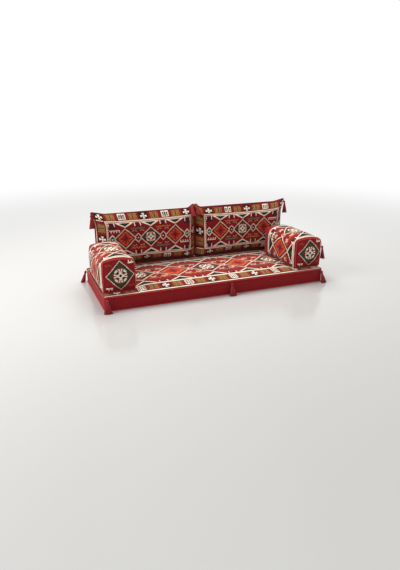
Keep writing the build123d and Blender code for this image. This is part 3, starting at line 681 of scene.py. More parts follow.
def alongPaths(name, paths, material, sides=5):
    # One mesh of strands; each path is its points and its radius
    points, edges, thickness = [], [], []
    for line, radius in paths:
        first = len(points)
        points += [tuple(point) for point in line]
        edges += [(first + k, first + k + 1) for k in range(len(line) - 1)]
        thickness += [radius] * len(line)
    mesh = bpy.data.meshes.new(name)
    mesh.from_pydata(points, edges, [])
    mesh.attributes.new("thickness", "FLOAT", "POINT").data.foreach_set("value", thickness)
    piece = bpy.data.objects.new(name, mesh)
    scene.collection.objects.link(piece)
    modifier = piece.modifiers.new("strands", "NODES")
    modifier.node_group = strandTree
    chosen = {"Sides": sides, "Yarn": material}
    for socket in strandTree.interface.items_tree:
        if socket.name in chosen:
            modifier[socket.identifier] = chosen[socket.name]
    settleMesh(piece)
    return piece


def joinMeshes(piece, others):
    # One mesh from several, with their materials kept apart
    merged = bmesh.new()
    materials = []
    for one in [piece] + others:
        shift = len(materials)
        materials += list(one.data.materials)
        before = len(merged.faces)
        merged.from_mesh(one.data)
        merged.faces.ensure_lookup_table()
        for face in merged.faces[before:]:
            face.material_index += shift
    merged.to_mesh(piece.data)
    merged.free()
    piece.data.materials.clear()
    for material in materials:
        piece.data.materials.append(material)
    for one in others:
        bpy.data.objects.remove(one)


pipingPlan = {"radius": 4.2 * mm, "sides": 10, "step": 6.0 * mm}


def makePiping(name, loop, body, node, material="pipingCottonAndHighlight"):
    # A cord covered in red cotton, sewn all round the seam
    closed = np.vstack([loop, loop[:1]])
    sewn = Sewn()
    addTube(sewn, resample(closed, int(runAlong(closed)[-1] / pipingPlan["step"]))[:-1],
            pipingPlan["radius"], pipingPlan["sides"])
    piece = sewn.build(name, [cloth[material]])
    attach(piece, body)
    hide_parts(node)


def bodyOf(node):
    return next(body for body, nodes in frame["record"]["behaviour"]["bodies"].items() if node in nodes)


def camelName(node):
    first, *rest = node.split("_")
    return first + "".join(word.title() for word in rest)


def smooth(piece, seam=()):
    # The creased seam stays inside its piping when the rest is rounded
    ends = np.zeros(len(piece.data.edges) * 2, dtype=int)
    piece.data.edges.foreach_get("vertices", ends)
    onSeam = np.isin(ends, list(seam)).reshape(-1, 2).all(axis=1)
    crease = piece.data.attributes.new("crease_edge", "FLOAT", "EDGE")
    crease.data.foreach_set("value", onSeam.astype(np.float32))
    finer = piece.modifiers.new("finer", "SUBSURF")
    finer.levels = finer.render_levels = 1
    settleMesh(piece)


def softInset(distances, soft):
    # The least distance to a side, rounded off where two sides are alike
    return np.clip(-soft * np.log(sum(np.exp(-distance / soft) for distance in distances)), 0, None)


def awayFromZip(grid, size):
    # How far a place lies outside the strip that the zip is sewn on
    return np.maximum(np.abs(grid[..., 0]) - size["length"] / 2,
                      np.abs(grid[..., 1] - size["height"]) - size["strip"])


# Sizes shared with the solids, in metres
sofa = {"length": 2.0, "depth": 0.812, "height": 0.120, "cordInset": 4.3 * mm, "seamIn": 4 * mm, "clothIn": 2.0 * mm,
        "cornerRadius": 0.026, "topSeam": 0.1157, "bottomSeam": 0.0043, "crownRise": 0.022, "aboveSeat": 0.3 * mm}
seatZ = sofa["height"]

# Mattress: the lip runs from the seam to the flat, the band's rows are (height, bulge in mm) from foot to top
mattress = {"grid": (200, 81), "half": (0.994, 0.400), "lip": (0.004, 0.009), "lipDrop": 0.5 * mm,
            "rearLift": 3.4 * mm, "rearFrom": 0.36, "rearRun": 0.03, "crownX": (-0.711, 0.748),
            "crownY": (-0.397, 0.331), "crownSpan": 0.728, "ripple": 1.6 * mm, "rippleScale": (6.0, 9.0),
            "rippleFade": 1.5,
            "crown": ([0, 0.05, 0.11, 0.2, 0.34], [0, 0.42, 0.72, 0.92, 1.0]),
            "band": [(0.0085, 2.4), (0.022, 3.4), (0.045, 4.2), (0.060, 4.4), (0.075, 4.2), (0.098, 3.4),
                     (0.1115, 2.4)],
            "bandWave": 1.2, "bandWaves": (3.0, 20), "waveFrom": 3, "flatRear": 0.4043,
            "zip": {"centre": 0.0, "face": 0.4044, "height": 0.060, "length": 1.700}}


def rectLoop(inset, radius):
    # The mattress's outline and its four corners
    halfX, halfY = (sofa[side] / 2 - sofa["seamIn"] - inset for side in ("length", "depth"))
    corners = [(-halfX, -halfY), (halfX, -halfY), (halfX, halfY), (-halfX, halfY)]
    return filletedLoop(corners, [radius] * 4), corners


def seatHeight(x, y):
    # The free seat swells between the armrests and the back cushions, softly and a little unevenly
    (left, right), (front, rear) = mattress["crownX"], mattress["crownY"]
    edge = np.minimum(np.minimum(x - left, right - x), np.minimum(y - front, rear - y))
    rise = np.interp(np.clip(edge / mattress["crownSpan"], 0, 1), *mattress["crown"])
    scaleX, scaleY = mattress["rippleScale"]
    ripple = np.array([noise(Vector((a * scaleX, b * scaleY, 3.1))) for a, b in zip(x.ravel(), y.ravel())])
    return (seatZ + sofa["crownRise"] * rise
            + mattress["ripple"] * ripple.reshape(x.shape) * np.clip(rise * mattress["rippleFade"], 0, 1))


def rearLift(y):
    # The back cushions' feet press the rear seam up against them, which closes the slit under their piping
    return mattress["rearLift"] * np.clip((y - mattress["rearFrom"]) / mattress["rearRun"], 0, 1)


def bandRow(height, bulge, rimPoints, outward, around):
    # The ribbed band bellies out between its seams, with a few slow waves along it
    alongScale, upScale = mattress["bandWaves"]
    wave = np.array([noise(Vector((a * alongScale, height * upScale, 7.7))) for a in around[:-1]])[:, None]
    wave = wave * mattress["bandWave"] * mm
    swollen = rimPoints + outward * ((bulge - 1.0) * mm + wave * (bulge > mattress["waveFrom"]))
    swollen[:, 1] = np.minimum(swollen[:, 1], mattress["flatRear"])     # flat at the rear, under the zip
    return np.column_stack([swollen, np.full(len(rimPoints), height)])


def makeMattress():
    loop, corners = rectLoop(sofa["clothIn"], sofa["cornerRadius"] - sofa["clothIn"])
    grid = coonsGrid(*fourSides(loop, corners, mattress["grid"]))
    rows, columns = grid.shape[:2]
    (halfX, halfY), (lipIn, flatIn) = mattress["half"], mattress["lip"]
    inset = np.minimum(np.minimum(grid[..., 0] + halfX, halfX - grid[..., 0]),
                       np.minimum(grid[..., 1] + halfY, halfY - grid[..., 1]))
    lip = np.interp(inset, [0, lipIn, flatIn], [sofa["topSeam"], seatZ - mattress["lipDrop"], seatZ])
    lip = lip + rearLift(grid[..., 1]) * np.clip(1 - inset / lipIn, 0, 1)
    top = np.dstack([grid, np.where(inset > flatIn, seatHeight(grid[..., 0], grid[..., 1]), lip)])
    base = np.dstack([grid, np.interp(inset, [0, lipIn], [sofa["bottomSeam"], 0.0])])
    sewn = Sewn()
    topIndex = sewn.add(top).reshape(rows, columns)
    baseIndex = sewn.add(base).reshape(rows, columns)
    sewn.patch(topIndex, top[..., :2], 0, False)
    sewn.patch(baseIndex, base[..., :2], 2, True)
    rim = ringOrder(rows, columns)
    rimPoints = np.array([grid[place] for place in rim])
    outward = np.roll(rimPoints, -1, 0) - np.roll(rimPoints, 1, 0)
    outward = np.stack([outward[:, 1], -outward[:, 0]], axis=1)
    outward /= np.linalg.norm(outward, axis=1, keepdims=True)
    around = runAlong(np.vstack([rimPoints, rimPoints[:1]]))
    ringRows = [np.array([baseIndex[place] for place in rim])]
    ringRows += [sewn.add(bandRow(*row, rimPoints, outward, around)) for row in mattress["band"]]
    ringRows.append(np.array([topIndex[place] for place in rim]))
    heights = np.array([0.0] + [height for height, bulge in mattress["band"]] + [sofa["topSeam"]])
    index = np.array(ringRows)
    index = np.hstack([index, index[:, :1]])
    uv = np.stack([np.broadcast_to(around, index.shape), np.broadcast_to(heights[:, None], index.shape)], axis=2)
    sewn.patch(index, uv, 1, False)
    piece = sewn.build("mattressCover", [cloth["kilimSeat"], cloth["redRibbedCotton"], cloth["redCotton"]])
    body = bodyOf("mattress_foam")
    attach(piece, body)
    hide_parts("mattress_foam", "mattress_top_panel", "mattress_side_band", "mattress_bottom_panel")
    seam, corners = rectLoop(0.0, sofa["cornerRadius"])
    for place, height in (("top", sofa["topSeam"]), ("bottom", sofa["bottomSeam"])):
        loop = np.column_stack([seam, height + rearLift(seam[:, 1]) * (place == "top")])
        makePiping(f"mattressPiping{place.title()}", loop, body, f"mattress_{place}_piping")


makeMattress()
print("mattress made")

# Back cushions
back = {"width": 0.947, "height": 0.484, "thickness": 0.146, "foot": 4.3 * mm, "earOut": 0.032, "earUp": 0.026,
        "earReach": 0.090, "innerUp": 0.042, "innerReach": 0.056, "tipRadius": 0.009, "bendRadius": 0.060,
        "footRadius": 0.006, "seamY": 0.408, "centres": (-0.4185, 0.5371), "grid": (94, 50), "soft": 0.010,
        "footFullness": 3.2, "loft": 0.93, "frontMost": 0.0755, "rearMost": 0.0728, "mapMiddle": 0.252,
        "profile": ([0, 0.006, 0.018, 0.034, 0.052, 0.075, 0.11, 0.17], [0, 0.2, 0.46, 0.66, 0.8, 0.9, 0.96, 1.0]),
        "zip": {"length": 0.760, "height": 0.052, "strip": 0.012, "held": 0.006, "blend": 0.020, "blendFrom": 1.5,
                "depth": 0.0691, "out": 0.06935}}
backSwell = {"pressure": 3.2, "fullness": 0.012, "stiffness": 18, "bending": 1.2, "frames": 18, "cap": 0.022}


def backOutline():
    # Inner side at +x, outer side at -x, with the ears as the seam was sewn
    half, top, reach = back["width"] / 2, back["height"], back["earReach"]
    corners = [(half, back["foot"]), (half, top + back["innerUp"]), (half - back["innerReach"], top),
               (-half + reach, top), (-half - back["earOut"], top + back["earUp"]), (-half, top - reach),
               (-half, back["foot"])]
    radii = [back[kind + "Radius"] for kind in ("foot", "tip", "bend", "bend", "tip", "bend", "foot")]
    return corners, radii


def makeBack(name, node, centre, outer, kilim):
    corners, radii = backOutline()
    loop = filletedLoop(corners, radii)
    grid = coonsGrid(*fourSides(loop, [corners[6], corners[0], corners[1], corners[4]], back["grid"]))
    rows, columns = grid.shape[:2]
    width = np.linalg.norm(grid[:, -1] - grid[:, 0], axis=1)[:, None]
    height = np.linalg.norm(grid[-1] - grid[0], axis=1)[None, :]
    s, t = np.linspace(0, 1, columns)[None, :], np.linspace(0, 1, rows)[:, None]
    inset = softInset([s * width, (1 - s) * width, (1 - t) * height, t * height * back["footFullness"]], back["soft"])
    depth = np.interp(inset, *back["profile"]) * back["thickness"] / 2 * back["loft"]
    zipAway = awayFromZip(grid, back["zip"])
    atZip = np.clip(back["zip"]["blendFrom"] - zipAway / back["zip"]["blend"], 0, 1)
    rearDepth = depth + (back["zip"]["depth"] - depth) * atZip
    sewn = Sewn()
    x = centre - outer * grid[..., 0]
    front = np.dstack([x, back["seamY"] - depth, seatZ + grid[..., 1]])
    rear = np.dstack([x, back["seamY"] + rearDepth, seatZ + grid[..., 1]])
    flat = np.dstack([np.broadcast_to((s - 0.5) * back["width"] * -outer, x.shape),
                      np.broadcast_to(t * back["height"] - back["mapMiddle"], x.shape)])
    frontIndex = sewn.add(front).reshape(rows, columns)
    rearIndex = frontIndex.copy()
    rearIndex[1:-1, 1:-1] = sewn.add(rear[1:-1, 1:-1]).reshape(rows - 2, columns - 2)
    flip = outer > 0
    sewn.patch(frontIndex, flat, 0, flip)
    sewn.patch(rearIndex, flat, 1, not flip)
    piece = sewn.build(name, [cloth[kilim], cloth["redCotton"]])
    seam = {int(frontIndex[place]) for place in ringOrder(rows, columns)}
    inflate(piece, seam | {int(k) for k in rearIndex[zipAway < back["zip"]["held"]]}, backSwell)
    points = readPoints(piece)
    points[:, 2] = np.maximum(points[:, 2], seatZ + sofa["aboveSeat"])
    points[:, 1] = np.clip(points[:, 1], back["seamY"] - back["frontMost"], back["seamY"] + back["rearMost"])
    writePoints(piece, points)
    smooth(piece, seam)
    body = bodyOf(f"{node}_fill")
    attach(piece, body)
    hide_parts(f"{node}_fill", f"{node}_front_panel", f"{node}_rear_panel")
    world = np.column_stack([centre - outer * loop[:, 0], np.full(len(loop), back["seamY"]), seatZ + loop[:, 1]])
    makePiping(f"{name}Piping", world, body, f"{node}_piping", "darkPipingCotton")


makeBack("backLeftCover", "back_left", back["centres"][0], -1, "kilimBackLeft")
makeBack("backRightCover", "back_right", back["centres"][1], 1, "kilimBackRight")
print("back cushions made")

# Armrests: drawn is how far each ring is let out, and footUp how high its foot is, in mm by metres from the seam
arm = {"width": 0.248, "height": 0.274, "arch": 0.020, "archSwell": 0.8, "bulge": 0.006, "edgeRadius": 0.024,
       "footRadius": 0.012, "endCrown": 0.012, "frontY": -0.314, "rearY": 0.248, "centres": (-0.852, 0.889),
       "counts": (26, 28), "rows": 60, "bendShare": 0.55, "clothIn": 2.0 * mm, "clothFoot": 6.0 * mm, "soft": 0.006,
       "crown": ([0, 0.006, 0.014, 0.028, 0.05], [0, 0.4, 0.75, 0.95, 1.0]),
       "drawn": ([0, 0.006, 0.014, 0.028, 0.060], [1.5, -1.0, -5.0, -7.5, -8.5]),
       "footUp": ([0, 0.008, 0.024], [6.0, 3.0, 0.2]), "mapMiddle": 0.140, "mapForward": 0.033,
       "zip": {"length": 0.170, "height": 0.060, "strip": 0.012, "held": 0.006}}
armSwell = {"pressure": 2.2, "fullness": 0.008, "stiffness": 20, "bending": 1.5, "frames": 14, "cap": 0.010}


def armOutline(inset, foot):
    half, shoulder = arm["width"] / 2 - inset, arm["height"] - arm["arch"] - inset
    rise = arm["arch"] + arm["archSwell"] * max(-inset, 0)
    sideRun = (shoulder - foot) / 2
    sideRadius = arm["bendShare"] * sideRun ** 2 / arm["bulge"]
    archRadius = arm["bendShare"] * half ** 2 / rise
    swollen = half + arm["bulge"]
    corners = [(-half, foot), (half, foot), (swollen, foot + sideRun), (half, shoulder), (0, shoulder + rise),
               (-half, shoulder), (-swollen, foot + sideRun)]
    radii = [arm["footRadius"], arm["footRadius"], sideRadius, arm["edgeRadius"], archRadius, arm["edgeRadius"],
             sideRadius]
    return corners, radii


def armSides(inset, foot):
    corners, radii = armOutline(inset, foot)
    return fourSides(filletedLoop(corners, radii), [corners[0], corners[1], corners[3], corners[5]], arm["counts"])


def makeArm(name, node, centre):
    grid = coonsGrid(*armSides(arm["clothIn"], arm["clothFoot"]))
    rows, columns = grid.shape[:2]
    rim = ringOrder(rows, columns)
    width = (grid[:, -1, 0] - grid[:, 0, 0])[:, None]
    height = (grid[-1, :, 1] - grid[0, :, 1])[None, :]
    s, t = np.linspace(0, 1, columns)[None, :], np.linspace(0, 1, rows)[:, None]
    inset = softInset([s * width, (1 - s) * width, (1 - t) * height, t * height], arm["soft"])
    crown = np.interp(inset, *arm["crown"]) * arm["endCrown"]
    sewn = Sewn()
    caps = []
    for y, outward, flip in ((arm["frontY"], -1, False), (arm["rearY"], 1, True)):
        cap = np.dstack([centre + grid[..., 0], y + outward * crown, seatZ + grid[..., 1]])
        index = sewn.add(cap).reshape(rows, columns)
        sewn.patch(index, np.dstack([grid[..., 0], grid[..., 1] - arm["mapMiddle"]]), 1, flip)
        caps.append(np.array([index[place] for place in rim]))
        rearCap = index
    # Sleeve: rings from the front seam to the rear one, drawn in towards each seam
    ringRows, runs = [caps[0]], [arm["frontY"]]
    span = arm["rearY"] - arm["frontY"]
    for share in np.linspace(0, 1, arm["rows"] + 1)[1:-1]:
        y = arm["frontY"] + span * share
        fromSeam = min(share, 1 - share) * span
        draw, foot = (np.interp(fromSeam, *arm[key]) * mm for key in ("drawn", "footUp"))
        bottom, right, top, left = armSides(draw, foot)
        ring = np.vstack([bottom, right[1:], top[::-1][1:], left[::-1][1:-1]])
        ringRows.append(sewn.add(np.column_stack([centre + ring[:, 0], np.full(len(ring), y), seatZ + ring[:, 1]])))
        runs.append(y)
    index = np.array(ringRows + [caps[1]])
    index = np.hstack([index, index[:, :1]])
    around = runAlong(np.array([grid[place] for place in rim + rim[:1]]))
    topMiddle = around[columns - 1 + rows - 1 + (columns - 1) // 2]
    # The cloth's chain of lozenges runs over the top, and its map has that length first
    runs = np.array(runs + [arm["rearY"]])[:, None] + arm["mapForward"]
    uv = np.stack([np.broadcast_to(topMiddle - around, index.shape), np.broadcast_to(runs, index.shape)], axis=2)
    sewn.patch(index, uv, 0, True)
    piece = sewn.build(name, [cloth["kilimSleeve"], cloth["kilimEnd"]])
    held = {int(place) for ring in caps for place in ring}
    held |= {int(k) for k in rearCap[awayFromZip(grid, arm["zip"]) < arm["zip"]["held"]]}
    inflate(piece, held, armSwell)
    points = readPoints(piece)
    points[:, 2] = np.maximum(points[:, 2], seatZ + sofa["aboveSeat"])
    writePoints(piece, points)
    smooth(piece)
    body = bodyOf(f"{node}_fill")
    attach(piece, body)
    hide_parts(f"{node}_fill", f"{node}_sleeve", f"{node}_front_panel", f"{node}_rear_panel")
    loop = filletedLoop(*armOutline(0, sofa["cordInset"]))
    for end in ("front", "rear"):
        world = np.column_stack([centre + loop[:, 0], np.full(len(loop), arm[end + "Y"]), seatZ + loop[:, 1]])
        makePiping(f"{name}Piping{end.title()}", world, body, f"{node}_{end}_piping")


makeArm("armLeftCover", "arm_left", arm["centres"][0])
makeArm("armRightCover", "arm_right", arm["centres"][1])
print("armrests made")

# Tassels: threads laid over a wound head, bound at the neck and left loose below it.
# The skirts are (length, half width, half depth), and the leans of head and skirt are in degrees
tasselPlan = {"cord": 12 * mm, "armCord": 46 * mm, "cordRadius": 0.85 * mm, "cordPitch": 6 * mm, "cordStep": 0.8 * mm,
              "cordIn": 3 * mm, "plyOut": 0.8 * mm, "head": 22 * mm, "headRadius": 10.4 * mm, "headTop": 1.6 * mm,
              "headFlat": 4 * mm, "neck": 4 * mm, "neckRadius": 6.4 * mm, "threadRadius": 0.85 * mm,
              "windPitch": 1.3 * mm, "windRadius": 0.7 * mm, "windSteps": 16, "neckWind": (1.5 * mm, 5),
              "neckOut": 0.9 * mm, "crownWind": (1 * mm, 2), "crownOut": 2.6 * mm,
              "layers": ((92, 0.96), (56, 0.74)), "flare": 0.85, "uneven": 0.05, "unevenOut": 0.08, "swing": 0.3,
              "stray": 3.0 * mm, "floorGap": 1.1 * mm,
              "headAt": (0.02, 0.1, 0.25, 0.42, 0.6, 0.78, 0.92, 1.0),
              "skirtAt": (0.0, 0.06, 0.15, 0.28, 0.42, 0.56, 0.7, 0.85, 1.0),
              "coreSides": 24, "coreHead": 0.88, "coreHeadAt": (0.04, 0.2, 0.4, 0.6, 0.8, 1.0),
              "coreSkirt": (0.82, 0.96), "coreSkirtAt": (0.05, 0.2, 0.4, 0.6, 0.8, 0.97), "coreMap": (0.12, 8),
              "hanging": (96 * mm, 25 * mm, 17 * mm), "onFloor": (87 * mm, 35 * mm, 20 * mm),
              "leans": {"mattress": (20, 16), "outer": (30, 4), "inner": (64, 38), "arm": (16, 6)}}
up = np.array((0.0, 0.0, 1.0))


def strandNoise(seed, place, scale):
    return np.array([noise(Vector((seed * 7.3 + axis * 31.7, place * 2.2, 1.9))) for axis in range(3)]) * scale


def makeTassel(node, kind, seed):
    plan = tasselPlan
    joint = next(joint for joint in frame["joints"] if joint["name"] == node + "_swing")
    pivot = np.array(joint["pos_m"])
    ahead = np.array((-joint["axis"][1], joint["axis"][0], 0.0))
    sideways = np.array((-ahead[1], ahead[0], 0.0))
    leans = [math.radians(lean) for lean in plan["leans"][kind]]
    headDown, skirtDown = (ahead * math.sin(lean) - up * math.cos(lean) for lean in leans)
    headAcross, skirtAcross = (ahead * math.cos(lean) + up * math.sin(lean) for lean in leans)
    cordRun = plan["armCord"] if kind == "arm" else plan["cord"]
    length, halfWidth, halfDepth = plan["onFloor" if kind == "mattress" else "hanging"]
    neckTop = cordRun + plan["head"]
    throat = pivot + headDown * (neckTop + plan["neck"])
    lowest = plan["threadRadius"] + plan["floorGap"]

    def onHead(share, angle, out):
        # The head bulges between the cord and the neck
        radius = (plan["headTop"] * (1 - share) + plan["neckRadius"] * share
                  + (plan["headRadius"] - plan["headFlat"]) * 4 * share * (1 - share)) * out
        around = headAcross * math.cos(angle) + sideways * math.sin(angle)
        return pivot + headDown * (cordRun + plan["head"] * share) + around * radius

    def onSkirt(share, angle, out, reach):
        spread = share ** plan["flare"]
        deep, wide = (plan["neckRadius"] * (1 - spread) + half * spread for half in (halfDepth, halfWidth))
        point = throat + skirtDown * (length * reach * share)
        point = point + (skirtAcross * math.cos(angle) * deep + sideways * math.sin(angle) * wide) * out
        point[2] = max(point[2], lowest)
        return point

    def wound(start, turns, steps, pitch, radius, phase=0.0):
        # A spiral about the head's axis
        return [pivot + headDown * (start + turn / math.tau * pitch)
                + (headAcross * math.cos(turn + phase) + sideways * math.sin(turn + phase)) * radius
                for turn in np.linspace(0, math.tau * turns, steps)]

    paths = []
    for layer, (count, out) in enumerate(plan["layers"]):
        for number in range(count):
            angle = math.tau * (number + 0.5) / count
            mark = seed * 400 + number + 200 * layer
            reach = 1 + plan["uneven"] * noise(Vector((mark * 3.1, 0.4, 2.2)))
            own = out * (1 + plan["unevenOut"] * noise(Vector((mark * 1.7, 9.1, 0.3))))
            line = []
            if layer == 0:
                line += [onHead(share, angle, 1.0) for share in plan["headAt"]]
            for share in plan["skirtAt"]:
                swing = angle + plan["swing"] * share * noise(Vector((mark * 2.3, 4.4, share)))
                point = onSkirt(share, swing, own, reach) + strandNoise(mark, share, plan["stray"] * share)
                point[2] = max(point[2], lowest)
                line.append(point)
            paths.append((line, plan["threadRadius"]))
    # The twisted cord, and the yarn wound round the neck and the crown of the head
    cordTurns = (cordRun + plan["cordIn"]) / plan["cordPitch"]
    for ply in (0, math.pi):
        paths.append((wound(0, cordTurns, int(cordRun / plan["cordStep"]), plan["cordPitch"], plan["plyOut"], ply),
                      plan["cordRadius"]))
    for end, (above, turns), radius in ((neckTop, plan["neckWind"], plan["neckRadius"] + plan["neckOut"]),
                                        (cordRun, plan["crownWind"], plan["crownOut"])):
        paths.append((wound(end - above, turns, plan["windSteps"] * turns, plan["windPitch"], radius),
                      plan["windRadius"]))
    piece = alongPaths(camelName(node), paths, cloth["tasselViscose"])
    # A core of packed yarn fills the middle, so that no light passes through
    core = Sewn()
    angles = np.linspace(0, math.tau, plan["coreSides"], endpoint=False)
    rows = [[onHead(share, angle, plan["coreHead"]) for angle in angles] for share in plan["coreHeadAt"]]
    rows += [[onSkirt(share, angle, *plan["coreSkirt"]) for angle in angles] for share in plan["coreSkirtAt"]]
    index = core.add(np.array(rows)).reshape(len(rows), len(angles))
    index = np.hstack([index, index[:, :1]])
    run, twist = plan["coreMap"]
    core.patch(index, mapGrid(np.linspace(0, run, len(rows)), np.linspace(0, twist, len(angles) + 1)), 0, True)
    closeEnds(core, index)
    joinMeshes(piece, [core.build(piece.name + "Core", [cloth["tasselViscose"]])])
    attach(piece, bodyOf(node))
    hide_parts(node)


mattressCorners = ("front_left", "front_middle", "front_right", "rear_left", "rear_middle", "rear_right")
tasselKinds = [(f"mattress_tassel_{corner}", "mattress") for corner in mattressCorners]
tasselKinds += [(f"back_{side}_tassel_{place}", place) for side in ("left", "right") for place in ("outer", "inner")]
tasselKinds += [(f"arm_{side}_tassel", "arm") for side in ("left", "right")]
for seed, (node, kind) in enumerate(tasselKinds):
    makeTassel(node, kind, seed)
print("tassels made")

# Zips: two woven tapes, a closed coil, metal stops, and stitches that hold the tapes
zipPlan = {"tape": 24 * mm, "thick": 0.8 * mm, "gap": 0.5 * mm, "tapeEdge": 0.3 * mm, "coilWidth": 2.1 * mm,
           "coilHeight": 0.7 * mm, "coilOut": 1.6 * mm, "coilAside": 1.1 * mm, "pitch": 2.5 * mm, "coilSteps": 12,
           "coilRadius": 0.4 * mm, "stop": 4 * mm, "stopWidth": 7 * mm, "stopOut": (0.6 * mm, 3.2 * mm),
           "stopEdge": 0.8 * mm, "stitch": 3.2 * mm, "stitchStep": 5 * mm, "stitchRadius": 0.35 * mm,
           "stitchFrom": 4 * mm, "stitchIn": 2.5 * mm, "slabStep": 0.02}


def stitchPath(middle):
    # A short stitch along the tape that dips into the cloth at both ends
    shares, lifts = (-0.5, -0.3, 0.0, 0.3, 0.5), (-0.5, 0.6, 0.9, 0.6, -0.5)
    radius = zipPlan["stitchRadius"]
    return [middle + np.array((zipPlan["stitch"] * share, radius * lift, 0.0))
            for share, lift in zip(shares, lifts)], radius


def slab(sewn, low, high, clothPlace, edge):
    # A flat strip with soft edges, whose map is in metres
    (x0, y0, z0), (x1, y1, z1) = low, high
    section = [(y0, z0), (y0, z1), (y1 - edge, z1), (y1, z1 - edge), (y1, z0 + edge), (y1 - edge, z0)]
    stations = np.linspace(x0, x1, max(2, int((x1 - x0) / zipPlan["slabStep"])))
    index = sewn.add([[(x, y, z) for y, z in section] for x in stations]).reshape(len(stations), len(section))
    index = np.hstack([index, index[:, :1]])
    sewn.patch(index, mapGrid(stations, [z for y, z in section] + [section[0][1]]), clothPlace, False)
    closeEnds(sewn, index)


def makeZip(node, centre, face, height, length):
    plan, half, tapeHalf = zipPlan, length / 2, zipPlan["tape"] / 2
    coilHalf = half - 2 * plan["stop"]
    turns = np.linspace(0, 2 * coilHalf / plan["pitch"], int(plan["coilSteps"] * coilHalf / plan["pitch"])) * math.tau
    sewn, coils, rows = Sewn(), [], []
    for low, high in ((plan["gap"] / 2, tapeHalf), (-tapeHalf, -plan["gap"] / 2)):
        slab(sewn, (centre - half, face, height + low), (centre + half, face + plan["thick"], height + high), 0,
             plan["tapeEdge"])
    for side in (-1, 1):
        middle = centre + side * (half - 1.5 * plan["stop"])
        slab(sewn, (middle - plan["stop"] / 2, face + plan["stopOut"][0], height - plan["stopWidth"] / 2),
             (middle + plan["stop"] / 2, face + plan["stopOut"][1], height + plan["stopWidth"] / 2), 1,
             plan["stopEdge"])
        shift = plan["pitch"] / 2 if side > 0 else 0.0
        line = np.column_stack([centre - coilHalf + shift + turns / math.tau * plan["pitch"],
                                face + plan["coilOut"] + plan["coilHeight"] * np.sin(turns),
                                height + side * plan["coilAside"] + plan["coilWidth"] / 2 * np.cos(turns)])
        coils.append((line, plan["coilRadius"]))
        stitchHeight = height + side * (tapeHalf - plan["stitchIn"])
        for x in np.arange(centre - half + plan["stitchFrom"], centre + half - plan["stitchFrom"],
                           plan["stitchStep"]):
            rows.append(stitchPath(np.array((x, face + plan["thick"], stitchHeight))))
    name = camelName(node)
    tape = sewn.build(name, [cloth["zipTapePolyester"], chrome])
    joinMeshes(tape, [alongPaths(name + "Coil", coils, cloth["zipTapePolyester"], 3),
                      alongPaths(name + "Stitches", rows, cloth["sewingThread"], 4)])
    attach(tape, bodyOf(node))
    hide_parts(node)


seatZip = mattress["zip"]
makeZip("mattress_zip", seatZip["centre"], seatZip["face"], seatZip["height"], seatZip["length"])
for kind, plan, face in (("back", back, back["seamY"] + back["zip"]["out"]),
                         ("arm", arm, arm["rearY"] + arm["endCrown"])):
    for side, centre in zip(("left", "right"), plan["centres"]):
        makeZip(f"{kind}_{side}_zip", centre, face, seatZ + plan["zip"]["height"], plan["zip"]["length"])
for name, node in frame["nodes"].items():
    if name.endswith(("_zip_slider", "_zip_pull")):
        for slot in node.material_slots:
            slot.material = chrome
print("zips made")

# Floor, backdrop and light
studio = {"floor": "C6C5C2", "floorRoughness": 0.16, "floorSpecular": 0.5, "floorHalf": 40, "fadeFrom": 1.7,
          "fadeTo": 7.0, "worldStrength": 0.46, "target": (0, 0, 0.25),
          "key": {"place": (-4.4, -0.2, 2.9), "power": 158.0, "size": 2.4, "mirrored": True},
          "back": {"place": (0.7, 1.8, 4.0), "power": 195.0, "size": 3.0, "mirrored": False},
          "fill": {"place": (1.5, -4.5, 3.6), "power": 16.0, "size": 3.0, "mirrored": False}}
material, tree = newMaterial("paleFloor")
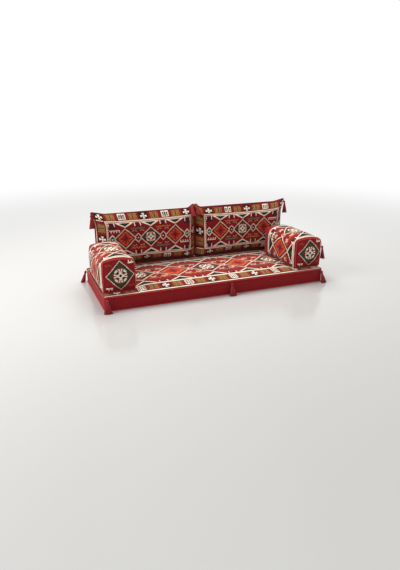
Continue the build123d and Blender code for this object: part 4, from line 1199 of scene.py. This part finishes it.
# The pale floor turns to the white of the background as it runs back
place = addNode(tree, "ShaderNodeTexCoord").outputs["Object"]
away = addNode(tree, "ShaderNodeVectorMath", (place,), operation="LENGTH")
fade = addNode(tree, "ShaderNodeMapRange", {"Value": away.outputs["Value"], "From Min": studio["fadeFrom"],
                                            "From Max": studio["fadeTo"]}, interpolation_type="SMOOTHSTEP").outputs[0]
matt = addNode(tree, "ShaderNodeBsdfPrincipled", {"Base Color": hexColour(studio["floor"]),
                                                  "Roughness": studio["floorRoughness"],
                                                  "Specular IOR Level": studio["floorSpecular"]})
white = addNode(tree, "ShaderNodeEmission", {"Color": (1, 1, 1, 1), "Strength": 1.0})
blend = addNode(tree, "ShaderNodeMixShader", (fade, matt.outputs[0], white.outputs[0]))
addNode(tree, "ShaderNodeOutputMaterial", {"Surface": blend.outputs[0]})
floorMesh = bpy.data.meshes.new("floor")
far = studio["floorHalf"]
floorMesh.from_pydata([(-far, -far, 0), (far, -far, 0), (far, far, 0), (-far, far, 0)], [], [(0, 1, 2, 3)])
floorMesh.materials.append(material)
floor = bpy.data.objects.new("floor", floorMesh)
scene.collection.objects.link(floor)
world = bpy.data.worlds.new("studio")
scene.world = world
world.use_nodes = True
tree = world.node_tree
tree.nodes.clear()
path = addNode(tree, "ShaderNodeLightPath").outputs
seen = ("MAXIMUM", ("MAXIMUM", path["Is Camera Ray"], path["Is Glossy Ray"]), path["Is Transmission Ray"])
strength = addNode(tree, "ShaderNodeMapRange",
                   {"Value": seen, "To Min": studio["worldStrength"], "To Max": 1.0}).outputs[0]
sky = addNode(tree, "ShaderNodeBackground", {"Color": (1, 1, 1, 1), "Strength": strength})
addNode(tree, "ShaderNodeOutputWorld", {"Surface": sky.outputs[0]})
for name in ("key", "back", "fill"):
    lampPlan = studio[name]
    lamp = bpy.data.objects.new(name, bpy.data.lights.new(name, "AREA"))
    scene.collection.objects.link(lamp)
    lamp.data.energy = lampPlan["power"]
    lamp.data.size = lampPlan["size"]
    lamp.location = lampPlan["place"]
    lamp.visible_glossy = lampPlan["mirrored"]
    lamp.rotation_euler = (Vector(studio["target"]) - lamp.location).to_track_quat("-Z", "Y").to_euler()
scene.view_settings.view_transform = "Standard"
print("studio made")
